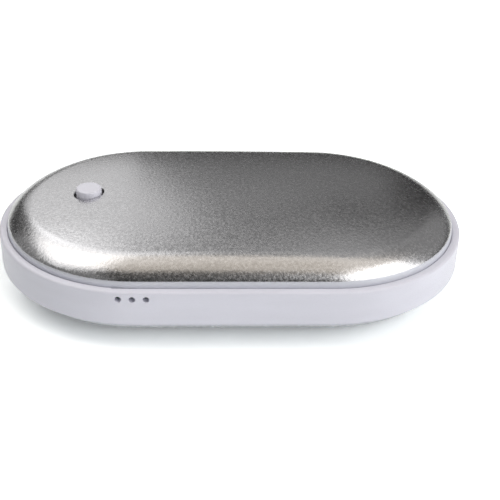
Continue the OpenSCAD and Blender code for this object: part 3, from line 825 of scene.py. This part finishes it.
def cut(target: bpy.types.Object, tool: bpy.types.Object, way: Cut = Cut.TAKE) -> None:
    """Takes a tool's space out of a piece or joins it on, and takes the tool out of the scene.

    Args:
        target: The piece.
        tool: A closed mesh.
        way: Whether the tool is taken away or joined on.
    """
    modifier = target.modifiers.new("cut", "BOOLEAN")
    modifier.operation = way.value
    modifier.solver = "EXACT"
    modifier.object = tool
    done = bpy.data.meshes.new_from_object(target.evaluated_get(bpy.context.evaluated_depsgraph_get()))
    target.modifiers.clear()
    old = target.data
    target.data = done
    done.name = old.name
    bpy.data.meshes.remove(old)
    for slot in range(len(done.materials) - 1, 0, -1):
        done.materials.pop(index=slot)
    bpy.data.objects.remove(tool)
    smooth(done)


# Sub-assemblies


METAL = BlastedMetal("blasted_metal")
BAND_PLASTIC = MouldedPlastic("band_plastic", (0.745, 0.745, 0.83), 0.3)


@dataclass
class Levels:
    """Heights of the body's parts, in millimetres over the table."""

    bottom_seam: float = 6.709
    band_height: float = 8.4
    rest_flat: float = 0.3

    @property
    def middle(self) -> float:
        """Middle of the band."""
        return self.bottom_seam + self.band_height / 2

    @property
    def top_seam(self) -> float:
        """Upper ledge of the band."""
        return self.bottom_seam + self.band_height


@dataclass
class Shells:
    """The two pressed metal shells, as fine meshes in place of their solids."""

    levels: Levels = field(default_factory=Levels)
    section: DomeSection = field(default_factory=DomeSection)
    plan: Plan = field(default_factory=Plan)
    sheet: float = 0.9
    lip: float = 1.0
    fineness: int = 20
    button_x: float = -33.8
    hole_r: float = 3.5
    hole_edge_r: float = 0.22
    hole_flare: float = math.radians(72)
    hole_below: float = 4.0
    hole_above: float = 3.0
    hole_clear: Point2 = (1.2, 0.4)
    hole_steps: int = 72
    flare_steps: int = 5

    def skins(self, flat: float = 0.0) -> tuple[list[Point2], list[Point2]]:
        """The two sides of one shell's section.

        Args:
            flat: How much is pressed flat at the top of the dome.

        Returns:
            Points up the outside to the middle, and from the middle down the inside.
        """
        top = self.section.height - flat
        outer = [(self.section.half_width, -self.lip)]
        outer += [(reach, min(z, top)) for reach, z in self.section.line(0.0, self.fineness)]
        inner = self.section.line(self.sheet, self.fineness // 2)[::-1]
        inner.append((self.section.half_width - self.sheet, -self.lip))
        return outer, inner

    def build(self) -> list[bpy.types.Object]:
        """Builds both shells.

        Returns:
            The two objects, in place of their solids.
        """
        outer, inner = self.skins()
        upper = Mesh().sweep(self.plan, outer, self.section).sweep(self.plan, inner)
        upper.sweep(self.plan, [inner[-1], outer[0]]).upright(self.levels.top_seam)
        top = upper.made("upper_metal_shell", METAL)
        cut(top, self.hole_tool())
        even_out(top)
        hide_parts("top_shell")
        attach(top, "housing")
        outer, inner = self.skins(self.levels.rest_flat)
        lower = Mesh().sweep(self.plan, outer + inner, closed=True)
        bottom = lower.upright(self.levels.bottom_seam, mirrored=True).made("lower_metal_shell", METAL)
        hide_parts("bottom_shell")
        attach(bottom, "housing")
        return [top, bottom]

    def hole_tool(self) -> bpy.types.Object:
        """The space of the button's hole, flared at the surface so that the hole's edge is rounded.

        Returns:
            A closed mesh that follows the dome's slope round the hole.
        """
        rounds = [(self.hole_r, -self.hole_below)]
        rounds += flare(self.hole_r, self.hole_edge_r, self.hole_flare, self.flare_steps)
        wide, rise = rounds[-1][0] + self.hole_clear[0], rounds[-1][1] + self.hole_clear[1]
        rounds += [(wide, rise), (wide, self.hole_above)]
        seam = self.levels.top_seam
        rings = []
        for radius, depth in rounds:
            ring = arc((self.button_x, 0.0), radius, 0.0, math.tau, self.hole_steps)[:-1]
            rings.append([(x, y, seam + self.section.surface(x, y) + depth) for x, y in ring])
        return Mesh().loft(rings, capped=True).made("hole_tool", METAL)


@dataclass(frozen=True)
class Opening:
    """A socket's opening in the back of the band, with the room behind it."""

    x: float
    z: float
    width: float
    height: float
    corner_r: float
    room: float
    corner_steps: int = 6

    def tool(self, near: float, far: float) -> bpy.types.Object:
        """The opening's space, run from near to far behind the middle line.

        Args:
            near: Where it starts.
            far: Where it ends.

        Returns:
            A closed mesh with rounded corners.
        """
        ring = []
        across, up = self.width / 2 - self.corner_r, self.height / 2 - self.corner_r
        for k, (sx, sz) in enumerate(((1, 1), (-1, 1), (-1, -1), (1, -1))):
            corner = (self.x + sx * across, sz * up)
            start, end = math.pi / 2 * k, math.pi / 2 * (k + 1)
            ring += arc(corner, self.corner_r, start, end, self.corner_steps)
        rings = [[(x, y, self.z + z) for x, z in ring] for y in (near, far)]
        return Mesh().loft(rings, capped=True).made("opening", BAND_PLASTIC)


@dataclass
class Band:
    """The moulded band between the shells, with the lights' holes and the sockets' openings."""

    levels: Levels = field(default_factory=Levels)
    plan: Plan = field(default_factory=Plan)
    half_width: float = 33.5
    inner_r: float = 31.7
    rib_r: float = 29.9
    rib_half: float = 3.1
    edge_r: float = 0.6
    inner_edge_r: float = 0.15
    inner_edge_turns: tuple[float, ...] = (0.0, 0.5, 1.0, math.pi / 2)
    light_xs: tuple[float, float, float] = (-24.9, -21.9, -18.9)
    light_r: float = 0.7
    light_drop: float = 1.8
    light_deep: float = 3.5
    light_edge_r: float = 0.1
    light_flare: float = math.radians(70)
    light_clear: Point3 = (0.6, 0.2, 1.0)
    light_steps: int = 40
    flare_steps: int = 4
    board_level: float = 11.509
    light_room: Point3 = (8.8, 2.7, 6.2)
    light_room_drop: float = 0.3
    room_y: float = -29.0
    output: Opening = Opening(-16.0, 10.909, 12.7, 5.32, 0.4, 13.5)
    charging: Opening = Opening(-28.0, 10.06, 7.9, 2.9, 0.8, 7.9)
    opening_margin: float = 2.0
    pocket_reach: float = 11.4
    pocket_height: float = 9.3
    pocket_gap: float = 0.05
    pocket_steps: int = 12
    lug_r: float = 2.4
    lug_steps: int = 24
    lug_hole_r: float = 0.92
    lug_hole_over: float = 1.0
    lug_hole_steps: int = 32
    lug_reach: float = 26.6
    lug_sink: float = 0.4
    right_lug_turn: float = math.radians(40)
    left_lug_turn: float = math.radians(30)
    side_lug_x: float = -5.5

    def outline(self) -> list[Point2]:
        """The band's section about its middle level.

        Returns:
            Points round the closed section, up the outside.
        """
        half = self.levels.band_height / 2
        soft, edge = self.inner_edge_r, self.edge_r
        bend = [
            (self.inner_r + soft * (1 - math.cos(turn)), half - soft * (1 - math.sin(turn)))
            for turn in self.inner_edge_turns
        ]
        points = [(self.rib_r, -self.rib_half), (self.inner_r, -self.rib_half)]
        points += [(r, -z) for r, z in bend]
        points += arc((self.half_width - edge, edge - half), edge, -math.pi / 2, 0.0, EDGE_STEPS)
        points += arc((self.half_width - edge, half - edge), edge, 0.0, math.pi / 2, EDGE_STEPS)
        points += bend[::-1]
        return points + [(self.inner_r, self.rib_half), (self.rib_r, self.rib_half)]

    def build(self) -> list[bpy.types.Object]:
        """Builds the band.

        Returns:
            The object, in place of its solid.
        """
        mesh = Mesh().sweep(self.plan, self.outline(), closed=True)
        band = mesh.upright(self.levels.middle).made("moulded_band", BAND_PLASTIC)
        for x in self.light_xs:
            cut(band, self.light_tool(x))
        for x, y, top in self.lugs():
            cut(band, self.lug(x, y, top), Cut.JOIN)
        for tool in self.rooms():
            cut(band, tool)
        even_out(band)
        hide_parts("mid_frame")
        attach(band, "housing")
        return [band]

    def lugs(self) -> list[Point3]:
        """The screw lugs.

        Returns:
            Where each one stands, and the height of its top over the middle level.
        """
        found = []
        middle = (self.plan.half_straight, 0.0)
        board = self.board_level - self.levels.middle
        for side in (-1, 1):
            x, y = arc(middle, self.lug_reach, self.right_lug_turn, 0.0, 1)[0]
            found.append((x, side * y, self.rib_half))
            found.append((self.side_lug_x, side * self.lug_reach, self.rib_half))
            x, y = arc(middle, self.lug_reach, self.left_lug_turn, 0.0, 1)[0]
            found.append((-x, side * y, board))
        return found

    def lug(self, x: float, y: float, top: float) -> bpy.types.Object:
        """One lug with its screw hole, joined to the rib by a web.

        Args:
            x: Middle of its hole.
            y: Middle of its hole.
            top: Height of its top over the middle level.

        Returns:
            A closed mesh.
        """
        centre = math.copysign(self.plan.half_straight, x) if abs(x) > self.plan.half_straight else x
        away = Vector((x - centre, y)).normalized()
        web = self.rib_r + self.lug_sink - Vector((x - centre, y)).length
        start = math.atan2(-away.y, -away.x) - math.pi / 2
        ring = arc((x, y), self.lug_r, start, start + math.pi, self.lug_steps)
        ring += [(end[0] + away.x * web, end[1] + away.y * web) for end in (ring[-1], ring[0])]
        low, high = self.levels.middle - self.rib_half, self.levels.middle + top
        lug = Mesh().prism(ring, low, high).made("lug", BAND_PLASTIC)
        foot, head, radius = low - self.lug_hole_over, high + self.lug_hole_over, self.lug_hole_r
        hole = Mesh().spin(
            [(0.0, foot), (radius, foot), (radius, head), (0.0, head)], self.lug_hole_steps, (x, y)
        )
        cut(lug, hole.made("bore", BAND_PLASTIC))
        return lug

    def rooms(self) -> list[bpy.types.Object]:
        """The rooms in the band for the sockets and the lights, with the sockets' openings.

        Returns:
            One closed mesh for each.
        """
        tools = []
        near, far = self.rib_r - self.pocket_reach / 2, self.inner_r - self.pocket_gap
        floor = self.levels.middle - self.pocket_height / 2
        steps, margin = self.pocket_steps, self.opening_margin
        for opening in (self.output, self.charging):
            left, right = opening.x - opening.room / 2, opening.x + opening.room / 2
            back = [right + (left - right) * i / steps for i in range(steps + 1)]
            ring = [(left, near), (right, near)] + [(x, self.wall_y(x, far)) for x in back]
            room = Mesh().prism(ring, floor, floor + self.pocket_height)
            tools.append(room.made("socket_room", BAND_PLASTIC))
            tools.append(opening.tool(self.rib_r - margin, self.half_width + margin))
        width, depth, height = self.light_room
        left, right = (self.light_xs[1] + side * width / 2 for side in (-1, 1))
        y, floor = self.room_y - depth, self.board_level - self.light_room_drop
        ring = [(left, y), (right, y), (right, self.room_y), (left, self.room_y)]
        tools.append(Mesh().prism(ring, floor, floor + height).made("light_room", BAND_PLASTIC))
        return tools

    def wall_y(self, x: float, reach: float) -> float:
        """How far from the middle line a wall at that reach stands at x."""
        return math.sqrt(reach**2 - max(abs(x) - self.plan.half_straight, 0.0) ** 2)

    def light_tool(self, x: float) -> bpy.types.Object:
        """The space of one light's hole, flared a little at the outer wall.

        Args:
            x: Middle of the hole.

        Returns:
            A closed mesh.
        """
        clear, rise, over = self.light_clear
        rounds = [(0.0, -self.light_deep), (self.light_r, -self.light_deep)]
        rounds += flare(self.light_r, self.light_edge_r, self.light_flare, self.flare_steps)
        rounds += [(self.light_r + clear, rise), (self.light_r + clear, over), (0.0, over)]
        tool = Mesh().spin(rounds, self.light_steps)
        tip = Matrix.Rotation(math.pi / 2, 3, "X")
        place = (x, -self.wall_y(x, self.half_width), self.levels.top_seam - self.light_drop)
        bmesh.ops.rotate(tool.bm, cent=(0, 0, 0), matrix=tip, verts=tool.bm.verts)
        bmesh.ops.translate(tool.bm, vec=place, verts=tool.bm.verts)
        return tool.made("light_tool", BAND_PLASTIC)


@dataclass
class Button:
    """The push button, on a flange and a stem."""

    x: float = -33.8
    radius: float = 3.0
    edge_r: float = 0.35
    stem: float = 0.9
    stem_r: float = 1.5
    flange: float = 0.7
    bevel: float = 0.1
    face_rings: tuple[float, float, float] = (2.0, 1.0, 0.0)
    steps: int = 72

    def build(self) -> list[bpy.types.Object]:
        """Builds the button.

        Returns:
            The object, in place of its solid.
        """
        low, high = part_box("power_button")
        top, foot, bevel = high.z / MM, low.z / MM, self.bevel
        flange_r = (high.x - low.x) / MM / 2
        seat = foot + self.stem
        rise = seat + self.flange
        points = [(0.0, foot), (self.stem_r - bevel, foot), (self.stem_r, foot + bevel), (self.stem_r, seat)]
        points += [(flange_r - bevel, seat), (flange_r, seat + bevel)]
        points += [(flange_r, rise - bevel), (flange_r - bevel, rise), (self.radius, rise)]
        middle = (self.radius - self.edge_r, top - self.edge_r)
        points += arc(middle, self.edge_r, 0.0, math.pi / 2, EDGE_STEPS)
        points += [(radius, top) for radius in self.face_rings]
        button = Mesh().spin(points, self.steps, (self.x, 0.0)).made("push_button", BAND_PLASTIC)
        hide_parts("power_button")
        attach(button, "button")
        return [button]


@dataclass
class Fitted:
    """A sub-assembly inside the body: its parts keep their solids and get their finishes."""

    def finishes(self) -> dict[Finish, tuple[str, ...]]:
        """The nodes that get each finish."""
        raise NotImplementedError

    def dress(self) -> list[bpy.types.Object]:
        """Puts the finishes on.

        Returns:
            The dressed parts.
        """
        parts = []
        for finish, names in self.finishes().items():
            for name in names:
                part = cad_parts[name]
                part.data.materials.clear()
                part.data.materials.append(finish.material())
                parts.append(part)
        return parts


@dataclass
class GlueLines(Fitted):
    """The two lines of glue that the shells' lips stand in."""

    shine: float = 0.35

    def finishes(self) -> dict[Finish, tuple[str, ...]]:
        """Amber-tinged glue, a little clear."""
        glue = Cast("set_glue", (0.72, 0.66, 0.5), self.shine, 0.4, 0.3)
        return {glue: ("top_adhesive_ring", "bottom_adhesive_ring")}


@dataclass
class Trays(Fitted):
    """Tray, battery cover, button guide and their screws."""

    texture_mm: float = 0.25

    def finishes(self) -> dict[Finish, tuple[str, ...]]:
        """Dark moulded plastic, and plated screws.

        Returns:
            The nodes that get each finish.
        """
        moulded = MouldedPlastic("tray_plastic", (0.055, 0.057, 0.062), 0.5, self.texture_mm, 0.012)
        screw = RolledMetal("plated_screw", (0.62, 0.6, 0.56), 0.3, 0.05, (1.2, 1.2, 0.1))
        return {
            moulded: ("lower_tray", "battery_cover", "button_guide"),
            screw: ("tray_screws", "cover_screws", "board_screws"),
        }


@dataclass
class Heaters(Fitted):
    """Heater films with their tracks, foam pads and thermistors."""

    foam_cell_mm: float = 0.55

    def finishes(self) -> dict[Finish, tuple[str, ...]]:
        """Amber film, etched track, foam and glass-coated beads.

        Returns:
            The nodes that get each finish.
        """
        track = RolledMetal("etched_track", (0.78, 0.42, 0.26), 0.35, 0.12, (0.4, 0.4, 0.4))
        bead = Cast("thermistor_glaze", (0.025, 0.022, 0.02), 0.18, 0.3)
        return {
            ThinFilm("heater_film"): ("top_heater_film", "bottom_heater_film"),
            track: ("top_heater_track", "bottom_heater_track"),
            CellFoam("insulating_foam", self.foam_cell_mm): ("top_insulation_pad", "bottom_insulation_pad"),
            bead: ("top_thermistor", "bottom_thermistor"),
        }


@dataclass
class Battery(Fitted):
    """Pair of pouch cells with tabs, tape, wrap and protection board."""

    emboss_mm: float = 0.9
    track_pitch_mm: float = 1.1

    def finishes(self) -> dict[Finish, tuple[str, ...]]:
        """Foil, nickel, tape, film and board.

        Returns:
            The nodes that get each finish.
        """
        return {
            PouchFoil("pouch_foil", self.emboss_mm): ("cell_upper", "cell_lower"),
            RolledMetal("nickel_tab", (0.68, 0.65, 0.6), 0.3): ("cell_tabs",),
            ThinFilm("cell_tape", (0.85, 0.82, 0.66), 0.5, 0.15): ("cell_tape",),
            ThinFilm("battery_wrap", (0.7, 0.42, 0.08), 0.2, 0.5): ("battery_wrap",),
            CircuitBoard("pack_board", self.track_pitch_mm): ("protection_board",),
            Cast("chip_resin"): ("protection_chips",),
        }


@dataclass
class MainBoard(Fitted):
    """Main board with its parts and the indicator lights."""

    track_pitch_mm: float = 1.7

    def finishes(self) -> dict[Finish, tuple[str, ...]]:
        """Board, chips, coil, capacitors, resistors and lights.

        Returns:
            The nodes that get each finish.
        """
        can = RolledMetal("capacitor_can", (0.75, 0.75, 0.76), 0.22, 0.1, (0.8, 0.8, 0.1))
        return {
            CircuitBoard("main_circuit_board", self.track_pitch_mm): ("main_board",),
            Cast("chip_resin"): ("control_chip", "boost_chip"),
            Cast("ferrite", (0.07, 0.07, 0.075), 0.62, 0.2): ("power_inductor",),
            Cast("capacitor_ceramic", (0.5, 0.36, 0.2), 0.45, 0.3): ("ceramic_capacitors",),
            Cast("resistor_glaze", (0.02, 0.02, 0.022), 0.3, 0.1): ("resistors",),
            can: ("storage_capacitor",),
            Cast("light_resin", (0.85, 0.84, 0.74), 0.15, 0.5, 0.4): ("indicator_leds",),
        }


@dataclass
class Sockets(Fitted):
    """Output and charging sockets in the back of the band."""

    lines_mm: float = 0.09

    def finishes(self) -> dict[Finish, tuple[str, ...]]:
        """Plated steel shells, black tongues and gold contacts.

        Returns:
            The nodes that get each finish.
        """
        grain = (1.2, 0.1, 1.2)
        shell = RolledMetal("socket_shell", (0.72, 0.71, 0.69), 0.25, self.lines_mm, grain)
        tongue = MouldedPlastic("tongue_plastic", (0.02, 0.02, 0.022), 0.42, 0.1, 0.006)
        return {
            shell: ("usb_out_shell", "usb_in_shell"),
            tongue: ("usb_out_tongue", "usb_in_tongue"),
            RolledMetal("gold_contact", (0.9, 0.66, 0.25), 0.2, 0.06, grain): ("usb_out_contacts",),
        }


@dataclass
class ClickSwitch(Fitted):
    """Click switch under the button."""

    shine: float = 0.4

    def finishes(self) -> dict[Finish, tuple[str, ...]]:
        """Black base, steel cover and disc, red plunger.

        Returns:
            The nodes that get each finish.
        """
        base = MouldedPlastic("switch_plastic", (0.02, 0.02, 0.024), self.shine, 0.1, 0.006)
        plunger = MouldedPlastic("plunger_plastic", (0.35, 0.03, 0.025), self.shine, 0.1, 0.005)
        disc = RolledMetal("disc_steel", (0.74, 0.72, 0.66), 0.18, 0.05, (0.6, 0.6, 0.1))
        return {
            base: ("switch_base",),
            plunger: ("switch_plunger",),
            RolledMetal("switch_steel", (0.7, 0.69, 0.67), 0.26): ("switch_cover",),
            disc: ("switch_dome",),
        }


@dataclass
class Leads(Fitted):
    """Leads with their plugs and sockets."""

    shine: float = 0.38
    texture_mm: float = 0.3
    depth_mm: float = 0.01

    def finishes(self) -> dict[Finish, tuple[str, ...]]:
        """Coloured covers, and plugs in natural plastic.

        Returns:
            The nodes that get each finish.
        """
        cover = (self.shine, self.texture_mm, self.depth_mm)
        plug = MouldedPlastic("plug_plastic", (0.86, 0.84, 0.78), 0.42, 0.2, 0.006)
        return {
            MouldedPlastic("natural_plastic", (0.8, 0.77, 0.68), 0.45, 0.2, 0.006): ("lead_sockets",),
            plug: ("lead_plugs",),
            MouldedPlastic("red_lead", (0.55, 0.03, 0.02), *cover): ("battery_leads",),
            MouldedPlastic("white_lead", (0.75, 0.75, 0.73), *cover): ("heater_leads",),
            MouldedPlastic("black_lead", (0.025, 0.025, 0.028), *cover): ("thermistor_leads",),
        }


# Studio


@dataclass(frozen=True)
class SoftBox:
    """A soft box that hangs round the body and faces it, with its sizes in metres."""

    name: str
    azimuth: float
    elevation: float
    width: float
    height: float
    brightness: float
    feather: float
    tint: Colour = WHITE
    distance: float = 1.0

    def hang(self) -> None:
        """Hangs the box, as a small and a large panel so that its edge is feathered.

        The azimuth is in degrees to the right of the body's front.
        """
        turn, rise = math.radians(self.azimuth), math.radians(self.elevation)
        away = Vector((math.sin(turn) * math.cos(rise), -math.cos(turn) * math.cos(rise), math.sin(rise)))
        for step in (-self.feather, self.feather):
            data = bpy.data.lights.new(self.name, "AREA")
            data.shape = "RECTANGLE"
            data.size, data.size_y = self.width + step, self.height + step
            data.energy = math.pi * data.size * data.size_y * self.brightness / 2
            data.color = self.tint
            lamp = bpy.data.objects.new(self.name, data)
            lamp.location = away * self.distance
            lamp.rotation_euler = away.to_track_quat("Z", "Y").to_euler()
            bpy.context.scene.collection.objects.link(lamp)


@dataclass
class Studio:
    """Floor, lights and camera.

    The camera's distance and target are in millimetres, its focal length and picture in points of the
    picture, and the boxes and the floor in metres.
    """

    azimuth: float = math.radians(-3.01)
    elevation: float = math.radians(30.541)
    roll: float = math.radians(1.614)
    distance: float = 237.74
    focal: float = 981.143
    picture: float = 500
    sensor: float = 36.0
    clip: Span = (0.01, 50)
    target: Point3 = (4.528, -3.648, 8.109)
    ambient: float = 0.025
    floor_tone: Colour = (0.87, 0.9, 0.91)
    floor_roughness: float = 0.6
    floor_sheen: float = 0.2
    floor_gain: float = 1.75
    mirrored_gain: float = 1.35
    floor_lift: float = 0.03
    floor_reach: float = 0.85
    boxes: tuple[SoftBox, ...] = (
        SoftBox("left_box", -114.0, 55.5, 0.96, 0.45, 2.4, 0.25),
        SoftBox("right_box", 52.0, 7.0, 0.83, 2.0, 3.8, 0.4),
        SoftBox("left_fill", -76.0, 18.0, 1.7, 0.92, 0.4, 0.45),
        SoftBox("back_fill", 102.0, 45.0, 1.36, 0.86, 0.5, 0.5),
        SoftBox("back_left", -161.0, 29.0, 0.3, 0.5, 1.28, 0.15),
        SoftBox("top_box", -20.0, 87.0, 1.98, 0.68, 1.25, 0.14, (1.1, 1.0, 0.87)),
        SoftBox("back_top", -146.0, 64.0, 1.1, 0.66, 0.32, 0.4),
        SoftBox("back_wide", -168.0, 33.0, 0.9, 0.7, 0.035, 0.3),
        SoftBox("back_strip", -177.0, 24.0, 0.64, 0.2, 0.34, 0.14),
    )

    def camera(self) -> None:
        """Places the camera."""
        ce, se = math.cos(self.elevation), math.sin(self.elevation)
        back = Vector((math.sin(self.azimuth) * ce, -math.cos(self.azimuth) * ce, se))
        right = (-back).cross(Vector((0, 0, 1))).normalized()
        up = right.cross(-back)
        turned = math.cos(self.roll) * right + math.sin(self.roll) * up
        upward = -math.sin(self.roll) * right + math.cos(self.roll) * up
        data = bpy.data.cameras.new("camera")
        data.sensor_width = self.sensor
        data.lens = self.focal / self.picture * self.sensor
        data.clip_start, data.clip_end = self.clip
        cam = bpy.data.objects.new("camera", data)
        basis = Matrix((turned, upward, back)).transposed().to_4x4()
        basis.translation = (Vector(self.target) + back * self.distance) * MM
        cam.matrix_world = basis
        bpy.context.scene.collection.objects.link(cam)
        bpy.context.scene.camera = cam

    def floor(self) -> None:
        """Lays the pale floor, lifted to white where the camera sees it unshadowed."""
        graph = Surface("pale_floor")
        path = graph.add("LightPath").outputs
        gain = graph.ramp(path["Is Glossy Ray"], to=(1, self.mirrored_gain))
        more = graph.ramp(path["Is Camera Ray"], to=(0, self.floor_gain - 1))
        scale = {0: self.floor_tone, "Scale": graph.sums(Sum.ADD, gain, more)}
        graph.feed(
            Base_Color=graph.add("VectorMath", scale, operation="SCALE").outputs["Vector"],
            Roughness=self.floor_roughness,
            Specular_IOR_Level=self.floor_sheen,
            Emission_Color=WHITE,
            Emission_Strength=graph.sums(Sum.MULTIPLY, path["Is Camera Ray"], self.floor_lift),
        )
        mesh = bmesh.new()
        bmesh.ops.create_grid(mesh, x_segments=8, y_segments=8, size=self.floor_reach)
        data = bpy.data.meshes.new("floor")
        mesh.to_mesh(data)
        mesh.free()
        data.materials.append(graph.material)
        floor = bpy.data.objects.new("floor", data)
        bpy.context.scene.collection.objects.link(floor)

    def surroundings(self) -> None:
        """Sets the dim light of the room, which the camera sees as white beyond the floor."""
        world = bpy.data.worlds.new("studio")
        world.use_nodes = True
        bpy.context.scene.world = world
        graph = Graph(world.node_tree)
        seen = graph.add("LightPath").outputs["Is Camera Ray"]
        background = graph.tree.nodes["Background"].inputs
        graph.give(background["Strength"], graph.ramp(seen, to=(self.ambient, 1)))
        graph.give(background["Color"], WHITE)

    def build(self) -> None:
        """Builds the whole studio."""
        self.camera()
        self.floor()
        self.surroundings()
        for box in self.boxes:
            box.hang()
        bpy.context.scene.view_settings.view_transform = "Standard"


def report(owner: Shells | Band | Button | Fitted, pieces: list[bpy.types.Object]) -> None:
    """Logs each piece of a sub-assembly.

    Args:
        owner: The sub-assembly.
        pieces: What it built or dressed.
    """
    for piece in pieces:
        LOG.info("%s: %s, %d faces", type(owner).__name__, piece.name, len(piece.data.polygons))


def main() -> None:
    """Builds the classes in order and reports each piece."""
    logging.basicConfig(level=logging.INFO, format="%(message)s")
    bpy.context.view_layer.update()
    for outside in (Shells(), Band(), Button()):
        report(outside, outside.build())
    fitted = (GlueLines(), Trays(), Heaters(), Battery(), MainBoard(), Sockets(), ClickSwitch(), Leads())
    for inside in fitted:
        report(inside, inside.dress())
    Studio().build()


if __name__ == "__main__":
    main()
